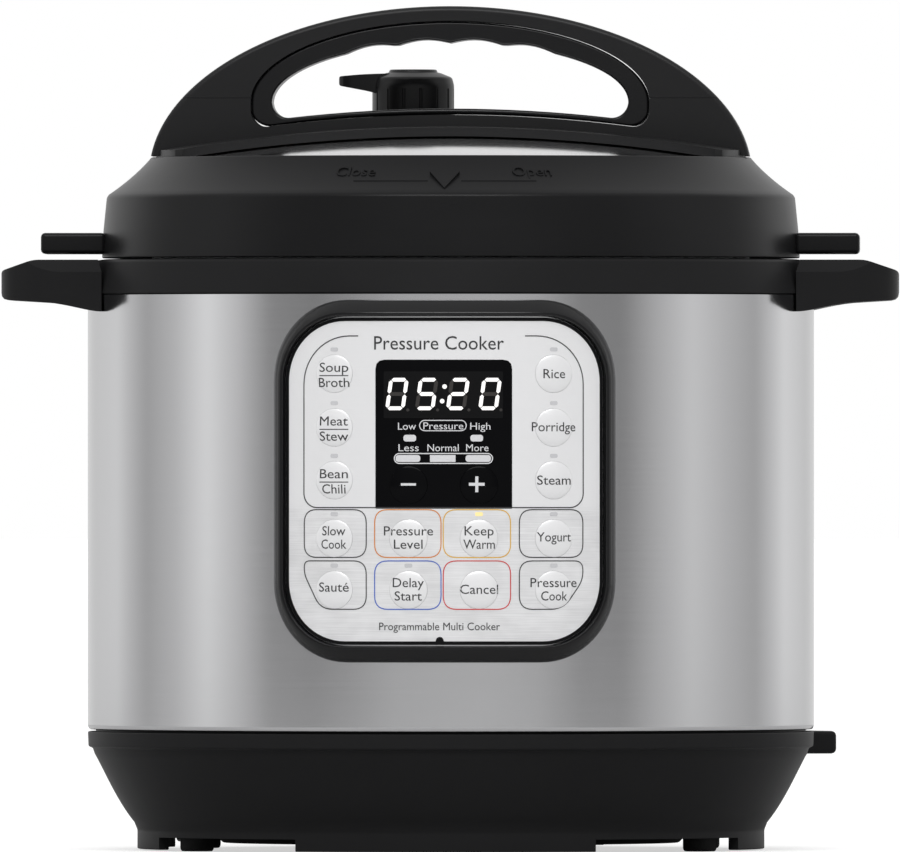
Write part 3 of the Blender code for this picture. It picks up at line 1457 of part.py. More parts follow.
def sealing_ring(surfaces):
    low = POT_RIM_Z + GAP
    outer = HOUSING_RADIUS - 0.6 * MM
    profile = [
        (outer - 8.5 * MM, low),
        (outer, low + 0.8 * MM),
        (outer, low + 4.4 * MM),
        (outer - 2.9 * MM, low + 5.0 * MM),
        (outer - 3.3 * MM, low + 3.0 * MM),
        (outer - 7.0 * MM, low + 2.6 * MM),
        (outer - 9.0 * MM, low + 1.6 * MM),
    ]
    ring = turned("sealing_ring", profile, surfaces["silicone"])
    wire = 0.9 * MM
    centre = (outer - 5.2 * MM, low + 4.2 * MM)
    rack = turned("seal_rack", arc(centre, wire, 0, 288, 4), surfaces["polished"])
    return ring, rack


def build():
    clear_scene()
    surfaces = make_materials()
    cooker = empty("cooker")
    hold(
        cooker,
        base_housing(surfaces),
        bottom_cover(surfaces),
        *rubber_feet(surfaces),
        *(base_screw(i, angle, surfaces) for i, angle in enumerate(SCREW_ANGLES)),
        *power_inlet(surfaces),
        power_board(surfaces),
        outer_body(surfaces),
        cooker_collar(surfaces),
        side_handle("side_handle_left", -1, surfaces),
        side_handle("side_handle_right", 1, surfaces),
        condensation_cup(surfaces),
        pressure_housing(surfaces),
        heating_plate(surfaces),
        *sensor_parts(surfaces),
        panel_bezel(surfaces),
        control_board(surfaces),
    )
    plate, window, buttons = control_panel(surfaces)
    hold(cooker, plate, window, *buttons)
    pot = inner_pot(surfaces)
    hold(cooker, pot)
    lid = empty("lid", parent=cooker)
    pipe, weight, knob, _ = steam_valve(surfaces)
    hold(
        lid,
        *sealing_ring(surfaces),
        lid_steel(surfaces),
        lid_cover(surfaces),
        *handle_parts(surfaces),
        pipe,
        weight,
        knob,
        *float_valve(surfaces),
        pipe_shield(surfaces),
    )


build()
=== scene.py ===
"""Electric pressure cooker in its finished looks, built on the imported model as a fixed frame.

Lengths are millimetres in the cooker's own frame, and the modelling tools turn them into metres:
+Z is up from the table, the control panel faces -Y and the side handles lie along X.
"""

import logging
import math
from collections.abc import Iterator, Sequence
from contextlib import contextmanager
from dataclasses import dataclass, field
from enum import Enum

import bmesh
import bpy
from mathutils import Matrix, Vector


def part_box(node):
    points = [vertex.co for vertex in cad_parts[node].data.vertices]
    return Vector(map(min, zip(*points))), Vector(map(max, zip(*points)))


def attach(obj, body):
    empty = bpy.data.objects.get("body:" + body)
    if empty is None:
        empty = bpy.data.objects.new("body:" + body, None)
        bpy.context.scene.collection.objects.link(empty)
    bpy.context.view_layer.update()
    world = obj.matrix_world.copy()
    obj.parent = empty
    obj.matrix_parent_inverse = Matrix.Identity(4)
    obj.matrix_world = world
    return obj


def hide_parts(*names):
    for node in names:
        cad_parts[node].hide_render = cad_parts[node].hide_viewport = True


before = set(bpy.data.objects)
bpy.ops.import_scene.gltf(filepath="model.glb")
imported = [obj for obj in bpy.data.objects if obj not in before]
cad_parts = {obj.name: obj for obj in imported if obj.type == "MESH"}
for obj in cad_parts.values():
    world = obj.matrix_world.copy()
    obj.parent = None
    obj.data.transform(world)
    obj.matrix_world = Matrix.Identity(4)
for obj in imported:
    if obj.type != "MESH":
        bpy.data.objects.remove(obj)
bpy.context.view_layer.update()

LOG = logging.getLogger("pressure_cooker")
MM = 0.001
WELD = 0.002 * MM
LATHE_WELD = 0.003 * MM
INK_LIFT = 0.02
DIGIT_LIFT = 0.09

Part = bpy.types.Object
Point = tuple[float, ...]
Colour = tuple[float, float, float]


# ---------------------------------------------------------------- the frame
@dataclass(frozen=True)
class Span:
    """Lowest and highest corner of a CAD node."""

    low: Vector
    high: Vector

    @property
    def middle(self) -> Vector:
        """Centre of the box."""
        return (self.low + self.high) / 2


def cad(node: str) -> Span:
    """Box of a CAD node.

    Args:
        node: Name of the node.

    Returns:
        Its box in millimetres.
    """
    low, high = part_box(node)
    return Span(low / MM, high / MM)


# ---------------------------------------------------------------- outlines
def arc(centre: Point, radius: float, start: float, end: float, steps: int = 12) -> list[Point]:
    """Points on a circle, both ends included.

    Args:
        centre: Centre of the circle.
        radius: Its radius.
        start: First angle in degrees.
        end: Last angle in degrees.
        steps: Number of chords.

    Returns:
        The points in order.
    """
    angles = [math.radians(start + (end - start) * i / steps) for i in range(steps + 1)]
    return [(centre[0] + radius * math.cos(a), centre[1] + radius * math.sin(a)) for a in angles]


def curve(p0: Point, p1: Point, p2: Point, p3: Point, steps: int = 14) -> list[Point]:
    """Points on a cubic curve.

    Args:
        p0: Start.
        p1: First handle.
        p2: Second handle.
        p3: End.
        steps: Number of chords.

    Returns:
        The points in order, both ends included.
    """
    points = []
    for i in range(steps + 1):
        t = i / steps
        weights = ((1 - t) ** 3, 3 * t * (1 - t) ** 2, 3 * t * t * (1 - t), t**3)
        points.append(tuple(sum(w * p[k] for w, p in zip(weights, (p0, p1, p2, p3))) for k in (0, 1)))
    return points


def eased(outline: Sequence[Point], steps: int = 3, closed: bool = True) -> list[Point]:
    """Rounds the corners of an outline that carry a third number, the length of the rounding.

    Args:
        outline: Points as (a, b) or (a, b, rounding).
        steps: Chords in each rounded corner.
        closed: Whether the last point is joined to the first.

    Returns:
        Plain (a, b) points.
    """
    made: list[Point] = []
    count = len(outline)
    for i, point in enumerate(outline):
        corner = Vector(point[:2])
        ends = not closed and i in (0, count - 1)
        if len(point) < 3 or not point[2] or ends:
            made.append(tuple(corner))
            continue
        legs = [Vector(outline[(i + k) % count][:2]) - corner for k in (-1, 1)]
        size = min(point[2], *(0.48 * leg.length for leg in legs))
        start, end = (corner + leg.normalized() * size for leg in legs)
        for j in range(steps + 1):
            t = j / steps
            made.append(tuple(start * (1 - t) ** 2 + corner * (2 * t * (1 - t)) + end * t * t))
    return made


def rounded_square(half: float, low: float, high: float, corner: float, steps: int = 10) -> list[Point]:
    """Outline of a rectangle with round corners.

    Args:
        half: Half of its width.
        low: Its lower edge.
        high: Its upper edge.
        corner: Radius of the corners.
        steps: Chords in each corner.

    Returns:
        The points, anticlockwise from the lower left.
    """
    corners = (
        (-half + corner, low + corner, 180),
        (half - corner, low + corner, 270),
        (half - corner, high - corner, 0),
        (-half + corner, high - corner, 90),
    )
    return [p for a, b, turn in corners for p in arc((a, b), corner, turn, turn + 90, steps)]


def box(start: float, end: float, low: float, high: float, corner: float = 0.0) -> list[Point]:
    """Outline of a rectangle whose corners carry a rounding.

    Args:
        start: Its left side.
        end: Its right side.
        low: Its lower side.
        high: Its upper side.
        corner: Length of the rounding.

    Returns:
        The four corners, anticlockwise from the lower left.
    """
    return [(start, low, corner), (end, low, corner), (end, high, corner), (start, high, corner)]


def around(radius: float, angle: float) -> Point:
    """The (x, y) point at a radius and an angle in degrees from X."""
    return (radius * math.cos(math.radians(angle)), radius * math.sin(math.radians(angle)))


# ---------------------------------------------------------------- modelling tools
def lone(part: Part) -> None:
    """Selects one part alone and makes it the active one."""
    bpy.ops.object.select_all(action="DESELECT")
    part.select_set(True)
    bpy.context.view_layer.objects.active = part


@contextmanager
def editing(part: Part) -> Iterator[None]:
    """Edit mode on one part, with all of it selected."""
    lone(part)
    bpy.ops.object.mode_set(mode="EDIT")
    bpy.ops.mesh.select_mode(type="VERT")
    bpy.ops.mesh.select_all(action="SELECT")
    yield
    bpy.ops.object.mode_set(mode="OBJECT")


def settle(part: Part) -> Part:
    """Puts a part's place, turn and size into its mesh."""
    lone(part)
    bpy.ops.object.transform_apply(location=True, rotation=True, scale=True)
    return part


def placed(part: Part, place: Matrix) -> Part:
    """Moves a part by a matrix in millimetres and settles it there.

    Args:
        part: The part.
        place: Where it goes; its shift is in millimetres.

    Returns:
        The same part.
    """
    metres = place.copy()
    metres.translation = place.translation * MM
    part.matrix_world = metres @ part.matrix_world
    return settle(part)


def named(part: Part, name: str) -> Part:
    """Gives a part and its mesh a name."""
    part.name = part.data.name = name
    return part


def extent(part: Part, axis: int) -> tuple[float, float]:
    """Lowest and highest place of a part's mesh on an axis, in millimetres."""
    places = [v.co[axis] / MM for v in part.data.vertices]
    return min(places), max(places)


def face_out() -> None:
    """Selects all of the part in edit mode, and turns its faces outwards."""
    bpy.ops.mesh.select_all(action="SELECT")
    bpy.ops.mesh.normals_make_consistent(inside=False)


def push_out(push: Vector) -> None:
    """Extrudes what is selected by a length in millimetres, and turns the faces outwards."""
    bpy.ops.mesh.extrude_region_move(TRANSFORM_OT_translate={"value": push * MM})
    face_out()


def drawn(name: str, points: Sequence[Vector]) -> Part:
    """Draws a line by pulling one vertex from point to point, and stays in edit mode.

    Args:
        name: Name of the new part.
        points: The points of the line.

    Returns:
        The part, with the whole line selected.
    """
    bpy.ops.object.select_all(action="DESELECT")
    bpy.ops.mesh.primitive_plane_add(size=MM, location=(0.0, 0.0, 0.0))
    part = named(bpy.context.object, name)
    bpy.ops.object.mode_set(mode="EDIT")
    bpy.ops.mesh.select_mode(type="VERT")
    bpy.ops.mesh.select_all(action="SELECT")
    bpy.ops.mesh.merge(type="CENTER")
    bpy.ops.transform.translate(value=points[0] * MM)
    for here, there in zip(points, points[1:]):
        bpy.ops.mesh.extrude_vertices_move(TRANSFORM_OT_translate={"value": (there - here) * MM})
    bpy.ops.mesh.select_all(action="SELECT")
    return part


def looped(name: str, points: Sequence[Vector]) -> Part:
    """Draws a closed line, and stays in edit mode with all of it selected."""
    part = drawn(name, [*points, points[0]])
    bpy.ops.mesh.remove_doubles(threshold=WELD)
    return part


def turned(name: str, outline: Sequence[Point], steps: int = 128, at: Point = (0.0, 0.0)) -> Part:
    """Turns an outline round a vertical axis, as on a lathe.

    Args:
        name: Name of the new part.
        outline: (radius, height) points, with an optional rounding; it may start and end on the axis.
        steps: Facets round the axis.
        at: Where the axis stands.

    Returns:
        The closed part.
    """
    open_line = outline[0][0] == 0.0 and outline[-1][0] == 0.0
    line = [Vector((a, 0.0, b)) for a, b in eased(outline, closed=not open_line)]
    part = drawn(name, line if open_line else [*line, line[0]])
    bpy.ops.mesh.spin(steps=steps, angle=math.tau, center=(0, 0, 0), axis=(0, 0, 1))
    bpy.ops.mesh.select_all(action="SELECT")
    bpy.ops.mesh.remove_doubles(threshold=LATHE_WELD)
    face_out()
    bpy.ops.transform.translate(value=(at[0] * MM, at[1] * MM, 0.0))
    bpy.ops.object.mode_set(mode="OBJECT")
    return part


def rod(name: str, radius: float, low: float, high: float, steps: int, at: Point) -> Part:
    """A plain upright rod, which cuts a hole or a groove.

    Args:
        name: Name of the new part.
        radius: Its radius.
        low: Its foot.
        high: Its top.
        steps: Facets round it.
        at: Where its axis stands.

    Returns:
        The rod.
    """
    return turned(name, [(0.0, low), (radius, low), (radius, high), (0.0, high)], steps, at)


class Along(Enum):
    """Axis that an outline is pushed along, and where its two numbers go."""

    X = (1, 2, 0)
    Y = (0, 2, 1)
    Z = (0, 1, 2)

    def point(self, a: float, b: float, depth: float) -> Vector:
        """The outline's point (a, b) at a depth on this axis."""
        made = Vector()
        for axis, value in zip(self.value, (a, b, depth)):
            made[axis] = value
        return made


def slab(name: str, outline: Sequence[Point], start: float, end: float, along: Along = Along.Z) -> Part:
    """Pushes an outline along an axis.

    Args:
        name: Name of the new part.
        outline: (x, y) points for Z, (x, z) for Y and (y, z) for X, with an optional rounding.
        start: Where the push starts.
        end: Where it ends.
        along: The axis.

    Returns:
        The closed part.
    """
    part = looped(name, [along.point(a, b, start) for a, b in eased(outline)])
    bpy.ops.mesh.edge_face_add()
    push_out(along.point(0.0, 0.0, end - start))
    bpy.ops.object.mode_set(mode="OBJECT")
    return part


def hoop(name: str, outer: Sequence[Point], inner: Sequence[Point], half: float) -> Part:
    """Pushes the space between two outlines along Y.

    Args:
        name: Name of the new part.
        outer: (x, z) points of the outside.
        inner: As many points of the inside.
        half: Half of its depth.

    Returns:
        The closed part.
    """
    loops = []
    for outline in (inner, outer):
        loops.append(looped(name, [Along.Y.point(a, b, -half) for a, b in outline]))
        bpy.ops.object.mode_set(mode="OBJECT")
    loops[0].select_set(True)
    bpy.ops.object.join()
    with editing(loops[1]):
        bpy.ops.mesh.bridge_edge_loops()
        bpy.ops.mesh.select_all(action="SELECT")
        push_out(Vector((0.0, 2.0 * half, 0.0)))
    return named(loops[1], name)


def block(name: str, low: Point, high: Point, turn: float = 0.0) -> Part:
    """A box between two corners, turned round Z.

    Args:
        name: Name of the new part.
        low: Its lowest corner.
        high: Its highest corner.
        turn: Degrees that it is turned round Z.

    Returns:
        The part.
    """
    bpy.ops.object.select_all(action="DESELECT")
    low_corner, high_corner = Vector(low), Vector(high)
    middle, size = (low_corner + high_corner) / 2, high_corner - low_corner
    bpy.ops.mesh.primitive_cube_add(size=1.0, location=middle * MM, scale=size * MM)
    part = settle(named(bpy.context.object, name))
    part.rotation_euler.z = math.radians(turn)
    return settle(part)


def sector(
    name: str, inner: float, outer: float, low: float, high: float, middle: float, half: float, steps: int = 16
) -> Part:
    """A block curved round the Z axis.

    Args:
        name: Name of the new part.
        inner: Inner radius.
        outer: Outer radius.
        low: Lower height.
        high: Upper height.
        middle: Its middle, in degrees from X.
        half: Half of its angle in degrees.
        steps: Chords on each curved side.

    Returns:
        The part.
    """
    outline = arc((0, 0), outer, middle - half, middle + half, steps)
    outline += arc((0, 0), inner, middle + half, middle - half, steps)
    return slab(name, outline, low, high)


def modified(part: Part, kind: str, **settings: object) -> Part:
    """Adds a modifier and applies it.

    Args:
        part: The part.
        kind: Blender's name for the modifier.
        settings: Its settings.

    Returns:
        The same part.
    """
    lone(part)
    step = part.modifiers.new(kind.lower(), kind)
    for key, value in settings.items():
        setattr(step, key, value)
    bpy.ops.object.modifier_apply(modifier=step.name)
    return part


def combined(part: Part, tools: Sequence[Part], operation: str, spare: bool) -> Part:
    """Booleans a part with other parts in turn, which are then thrown away unless spared."""
    for tool in tools:
        modified(part, "BOOLEAN", operation=operation, solver="EXACT", object=tool)
        if not spare:
            discard(tool)
    return part


def cut(part: Part, *tools: Part, spare: bool = False) -> Part:
    """Cuts other parts out of a part."""
    return combined(part, tools, "DIFFERENCE", spare)


def join(part: Part, *tools: Part) -> Part:
    """Joins other parts to a part as one solid."""
    return combined(part, tools, "UNION", False)


def trim(part: Part, tool: Part) -> Part:
    """Keeps what a part shares with another."""
    return combined(part, [tool], "INTERSECT", False)


def discard(part: Part) -> None:
    """Throws a part and its mesh away."""
    mesh = part.data
    bpy.data.objects.remove(part)
    bpy.data.meshes.remove(mesh)


def copied(part: Part, name: str) -> Part:
    """A copy of a part with its own mesh."""
    twin = part.copy()
    twin.data = part.data.copy()
    bpy.context.scene.collection.objects.link(twin)
    return named(twin, name)


def softened(part: Part, width: float, segments: int = 2, angle: float = 30.0) -> Part:
    """Rounds a part's edges.

    Args:
        part: The part.
        width: Width of the rounding.
        segments: Steps across it.
        angle: Edges sharper than this many degrees are rounded.

    Returns:
        The same part.
    """
    return modified(
        part,
        "BEVEL",
        width=width * MM,
        segments=segments,
        limit_method="ANGLE",
        angle_limit=math.radians(angle),
        use_clamp_overlap=True,
    )


def smooth(part: Part, angle: float = 32.0) -> Part:
    """Shades a part smooth, with edges sharper than an angle kept crisp and broad faces kept flat."""
    lone(part)
    bpy.ops.object.shade_smooth_by_angle(angle=math.radians(angle))
    return modified(part, "WEIGHTED_NORMAL", mode="FACE_AREA", weight=80, keep_sharp=True)


def sliced(part: Part, axis: int, pitch: float) -> Part:
    """Cuts a flat part's faces at equal steps, so that it can bend.

    Args:
        part: The part.
        axis: 0, 1 or 2 for X, Y or Z.
        pitch: Distance between the cuts.

    Returns:
        The same part.
    """
    low, high = extent(part, axis)
    normal = Vector()
    normal[axis] = 1.0
    first, last = math.ceil(low / pitch), math.floor(high / pitch)
    with editing(part):
        for i in range(first, last + 1):
            bpy.ops.mesh.select_all(action="SELECT")
            bpy.ops.mesh.bisect(plane_co=normal * (i * pitch * MM), plane_no=normal)
    return part


def bowed(part: Part, radius: float) -> Part:
    """Bends a flat part round a vertical axis at a radius."""
    low, high = extent(part, 0)
    return modified(part, "SIMPLE_DEFORM", deform_method="BEND", deform_axis="Z", angle=(high - low) / radius)


def kept_side(part: Part, axis: int, at: float, upper: bool) -> Part:
    """Drops what lies on one side of a plane.

    Args:
        part: The part.
        axis: 0, 1 or 2 for X, Y or Z.
        at: Where the plane stands.
        upper: Whether the higher side is kept.

    Returns:
        The same part.
    """
    normal = Vector()
    normal[axis] = 1.0
    with editing(part):
        bpy.ops.mesh.bisect(
            plane_co=normal * (at * MM), plane_no=normal, clear_inner=upper, clear_outer=not upper
        )
    return part


# ---------------------------------------------------------------- shader tools
class Wire:
    """A value on a node sheet that takes part in Python sums."""

    def __init__(self, sheet: "Sheet", socket: bpy.types.NodeSocket) -> None:
        """Holds one output socket of a sheet."""
        self.sheet = sheet
        self.socket = socket

    def _sum(self, operation: str, first: "Wire | float", second: "Wire | float") -> "Wire":
        """One Math node on two values."""
        return self.sheet.node("ShaderNodeMath", {"operation": operation}, {0: first, 1: second})

    def __add__(self, other: "Wire | float") -> "Wire":
        """Sum."""
        return self._sum("ADD", self, other)

    def __radd__(self, other: float) -> "Wire":
        """Sum, from the right."""
        return self._sum("ADD", other, self)

    def __sub__(self, other: "Wire | float") -> "Wire":
        """Difference."""
        return self._sum("SUBTRACT", self, other)

    def __rsub__(self, other: float) -> "Wire":
        """Difference, from the right."""
        return self._sum("SUBTRACT", other, self)

    def __mul__(self, other: "Wire | float") -> "Wire":
        """Product."""
        return self._sum("MULTIPLY", self, other)

    def __rmul__(self, other: float) -> "Wire":
        """Product, from the right."""
        return self._sum("MULTIPLY", other, self)

    def stepped(self, low: float, high: float) -> "Wire":
        """0 below low and 1 above high, with an even run between them."""
        return self.sheet.node(
            "ShaderNodeMapRange", {"interpolation_type": "SMOOTHSTEP"}, {0: self, 1: low, 2: high, 3: 0.0, 4: 1.0}
        )


class Sheet:
    """The node sheet of a material or a world."""

    def __init__(self, owner: bpy.types.Material | bpy.types.World) -> None:
        """Opens the owner's nodes."""
        owner.use_nodes = True
        self.owner = owner
        self.tree = owner.node_tree

    def feed(self, socket: bpy.types.NodeSocket, value: object) -> None:
        """Sets a socket to a value, or links a wire to it."""
        if isinstance(value, Wire):
            self.tree.links.new(value.socket, socket)
        else:
            socket.default_value = value

    def node(
        self, kind: str, settings: dict | None = None, inputs: dict | None = None, output: int | str = 0
    ) -> Wire:
        """Adds a node.

        Args:
            kind: Blender's name for the node.
            settings: Its settings, and under "stops" a ramp's (place, grey or colour) pairs.
            inputs: Values or wires for its sockets.
            output: Which output is wanted.

        Returns:
            That output.
        """
        made = self.tree.nodes.new(kind)
        for key, value in (settings or {}).items():
            if key == "stops":
                self._stops(made.color_ramp, value)
            else:
                setattr(made, key, value)
        for socket, value in (inputs or {}).items():
            self.feed(made.inputs[socket], value)
        return Wire(self, made.outputs[output])

    def shade(self, inputs: dict[str, object]) -> None:
        """Sets or links the sockets of the material's shader."""
        shader = self.tree.nodes["Principled BSDF"]
        for socket, value in inputs.items():
            self.feed(shader.inputs[socket], value)

    @staticmethod
    def _stops(ramp: bpy.types.ColorRamp, stops: Sequence[tuple[float, float]]) -> None:
        """Fills a ramp with grey stops."""
        while len(ramp.elements) < len(stops):
            ramp.elements.new(1.0)
        for element, (place, grey) in zip(ramp.elements, stops):
            element.position = place
            element.color = (grey, grey, grey, 1.0)

    def place(self, scale: Point = (1.0, 1.0, 1.0)) -> Wire:
        """The piece's own coordinates in millimetres, stretched by a scale on each axis."""
        own = self.node("ShaderNodeTexCoord", output="Object")
        return self.node("ShaderNodeMapping", inputs={"Vector": own, "Scale": tuple(s / MM for s in scale)})

    def noise(self, size: Point, detail: float = 2.0) -> Wire:
        """Noise from 0 to 1 with features of a size, in millimetres, on each axis."""
        where = self.place(tuple(1.0 / s for s in size))
        settings = {"noise_dimensions": "3D"}
        inputs = {"Vector": where, "Scale": 1.0, "Detail": detail, "Roughness": 0.55}
        return self.node("ShaderNodeTexNoise", settings, inputs)

    def axis(self, index: int) -> Wire:
        """One of the piece's own coordinates, in millimetres."""
        return self.node("ShaderNodeSeparateXYZ", inputs={0: self.place()}, output=index)

    def blend(self, factor: Wire, first: "Wire | Colour", second: "Wire | Colour") -> Wire:
        """A mix of two colours."""
        ends = [c if isinstance(c, Wire) else (*c, 1.0) for c in (first, second)]
        settings = {"data_type": "RGBA"}
        return self.node("ShaderNodeMix", settings, {0: factor, 6: ends[0], 7: ends[1]}, 2)

    def bump(self, height: Wire, depth: float, strength: float = 1.0) -> Wire:
        """A surface normal raised by a height of 0 to 1, times a depth in millimetres."""
        return self.node("ShaderNodeBump", inputs={"Height": height, "Distance": depth * MM, "Strength": strength})


# ---------------------------------------------------------------- finishes
_MATERIALS: dict[str, bpy.types.Material] = {}


@dataclass(frozen=True)
class Finish:
    """A finish; each kind paints its own node sheet."""

    name: str
    slot: str
    colour: Colour = (0.5, 0.5, 0.5)
    roughness: float = 0.5

    def material(self) -> bpy.types.Material:
        """The finish's material, made once."""
        if self.name not in _MATERIALS:
            sheet = Sheet(bpy.data.materials.new(self.name))
            sheet.shade(self.paint(sheet))
            sheet.owner.diffuse_color = (*self.colour, 1.0)
            _MATERIALS[self.name] = sheet.owner
        return _MATERIALS[self.name]

    def paint(self, sheet: Sheet) -> dict[str, object]:
        """Values and wires for the shader's sockets.

        Args:
            sheet: The material's nodes.

        Returns:
            Socket names with what feeds them.
        """
        return {"Base Color": (*self.colour, 1.0), "Roughness": self.roughness}


@dataclass(frozen=True)
class BrushedSteel(Finish):
    """Stainless sheet with its brush lines running round the vertical axis."""

    length: float = 26.0
    anisotropy: float = 0.55
    streak: float = 0.05

    def paint(self, sheet: Sheet) -> dict[str, object]:
        """Fine and coarse lines in colour, roughness and height."""
        fine = sheet.noise((self.length, self.length, 0.16), 3.0)
        broad = sheet.noise((self.length * 2.4, self.length * 2.4, 1.1), 2.0)
        tone = (fine * 0.6 + broad * 0.4 - 0.5) * (2.0 * self.streak)
        dark = tuple(c * 0.86 for c in self.colour)
        light = tuple(min(1.0, c * 1.12) for c in self.colour)
        return {
            "Base Color": sheet.blend(tone + 0.5, dark, light),
            "Metallic": 1.0,
            "Roughness": self.roughness + tone * 0.8,
            "Anisotropic": self.anisotropy,
            "Anisotropic Rotation": 0.25,
            "Normal": sheet.bump(fine, 0.003, 0.2),
        }


@dataclass(frozen=True)
class PolishedSteel(Finish):
    """Bright stainless or machined metal with faint wipe marks."""

    def paint(self, sheet: Sheet) -> dict[str, object]:
        """Soft smears in roughness and a slight unevenness."""
        smear = sheet.noise((14.0, 9.0, 11.0), 4.0)
        fine = sheet.noise((0.9, 0.9, 0.25), 2.0)
        dark = tuple(c * 0.93 for c in self.colour)
        return {
            "Base Color": sheet.blend(smear, dark, self.colour),
            "Metallic": 1.0,
            "Roughness": self.roughness + smear * 0.07 + fine * 0.03,
            "Normal": sheet.bump(fine, 0.003, 0.2),
        }


@dataclass(frozen=True)
class CastAluminium(Finish):
    """Dull cast or spun aluminium with a fine pebble."""

    def paint(self, sheet: Sheet) -> dict[str, object]:
        """Pebbled height, and patches in colour and roughness."""
        pebble = sheet.noise((0.5, 0.5, 0.5), 3.0)
        patch = sheet.noise((18.0, 18.0, 18.0), 3.0)
        dark = tuple(c * 0.82 for c in self.colour)
        return {
            "Base Color": sheet.blend(patch * 0.7 + pebble * 0.3, dark, self.colour),
            "Metallic": 1.0,
            "Roughness": self.roughness + patch * 0.12,
            "Normal": sheet.bump(pebble, 0.02, 0.5),
        }


@dataclass(frozen=True)
class MouldedPlastic(Finish):
    """Injection-moulded plastic with a spark-eroded grain."""

    grain: float = 0.35
    relief: float = 0.012
    coat: float = 0.0
    gloss: float = 0.25

    def paint(self, sheet: Sheet) -> dict[str, object]:
        """A fine grain in height, with flow marks in gloss and a little in colour."""
        grain = sheet.noise((self.grain,) * 3, 2.0)
        flow = sheet.noise((34.0, 34.0, 20.0), 3.0)
        light = tuple(c * 1.35 + 0.002 for c in self.colour)
        return {
            "Base Color": sheet.blend(flow * 0.5 + grain * 0.5, self.colour, light),
            "Roughness": self.roughness + (flow - 0.5) * 0.08 + (grain - 0.5) * 0.05,
            "Specular IOR Level": self.gloss,
            "Coat Weight": self.coat,
            "Coat Roughness": 0.08,
            "Normal": sheet.bump(grain, self.relief, 0.6),
        }


@dataclass(frozen=True)
class SilverFilm(Finish):
    """Silver overlay film of the control plate: plain above, brushed sideways below a height."""

    line: float = 114.0

    def paint(self, sheet: Sheet) -> dict[str, object]:
        """Sideways brush lines that strengthen below the line, under a clear film."""
        fine = sheet.noise((16.0, 16.0, 0.22), 3.0)
        broad = sheet.noise((11.0, 11.0, 7.0), 2.0)
        lower = 1.0 - sheet.axis(2).stepped(self.line - 2.0, self.line + 2.0)
        shade = (fine * 0.55 + broad * 0.45).stepped(0.30, 0.72)
        brushed = sheet.blend(shade, tuple(c * 0.80 for c in self.colour), tuple(c * 1.04 for c in self.colour))
        faint = sheet.blend(shade, tuple(c * 0.985 for c in self.colour), self.colour)
        return {
            "Base Color": sheet.blend(lower * 0.8, faint, brushed),
            "Metallic": 0.12,
            "Roughness": self.roughness + (fine - 0.5) * 0.1,
            "Coat Weight": 0.35,
            "Coat Roughness": 0.12,
            "Normal": sheet.bump(fine, 0.004, 0.3),
        }


@dataclass(frozen=True)
class Ink(Finish):
    """Screen-printed ink with a slightly uneven laydown."""

    def paint(self, sheet: Sheet) -> dict[str, object]:
        """Faint mottling in colour and gloss."""
        mottle = sheet.noise((0.6, 0.6, 0.6), 2.0)
        dark = tuple(c * 0.9 for c in self.colour)
        return {
            "Base Color": sheet.blend(mottle, dark, self.colour),
            "Roughness": self.roughness + (mottle - 0.5) * 0.1,
        }


@dataclass(frozen=True)
class Lamp(Finish):
    """A lit segment or lamp window behind a diffuser."""

    glow: float = 1.0

    def paint(self, sheet: Sheet) -> dict[str, object]:
        """Light that varies a little over the diffuser."""
        spread = sheet.noise((1.5, 1.5, 1.5), 1.0)
        dim = tuple(c * 0.88 for c in self.colour)
        return {
            "Base Color": tuple(c * 0.2 for c in self.colour) + (1.0,),
            "Roughness": self.roughness,
            "Emission Color": sheet.blend(spread, dim, self.colour),
            "Emission Strength": self.glow,
        }


@dataclass(frozen=True)
class Translucent(Finish):
    """Clear or milky moulding that lets light through."""

    clear: float = 0.6
    index: float = 1.45

    def paint(self, sheet: Sheet) -> dict[str, object]:
        """Transmission with cloudy patches in colour and roughness."""
        cloud = sheet.noise((9.0, 9.0, 9.0), 3.0)
        dark = tuple(c * 0.9 for c in self.colour)
        return {
            "Base Color": sheet.blend(cloud, dark, self.colour),
            "Roughness": self.roughness + cloud * 0.06,
            "Transmission Weight": self.clear,
            "IOR": self.index,
        }


@dataclass(frozen=True)
class CircuitBoard(Finish):
    """Green laminate with copper tracks under the mask."""

    def paint(self, sheet: Sheet) -> dict[str, object]:
        """Tracks from a brick grid, with weave in height."""
        settings = {"offset": 0.37, "squash": 1.6, "squash_frequency": 3}
        inputs = {"Vector": sheet.place(), "Scale": 0.22, "Mortar Size": 0.06, "Brick Width": 0.9, "Row Height": 0.35}
        tracks = sheet.node("ShaderNodeTexBrick", settings, inputs, "Fac")
        weave = sheet.noise((0.4, 0.4, 0.4), 2.0)
        light = (self.colour[0] + 0.03, self.colour[1] * 1.6, self.colour[2] + 0.02)
        return {
            "Base Color": sheet.blend(tracks, self.colour, light),
            "Roughness": self.roughness + weave * 0.1,
            "Normal": sheet.bump(tracks, 0.03, 0.5),
        }


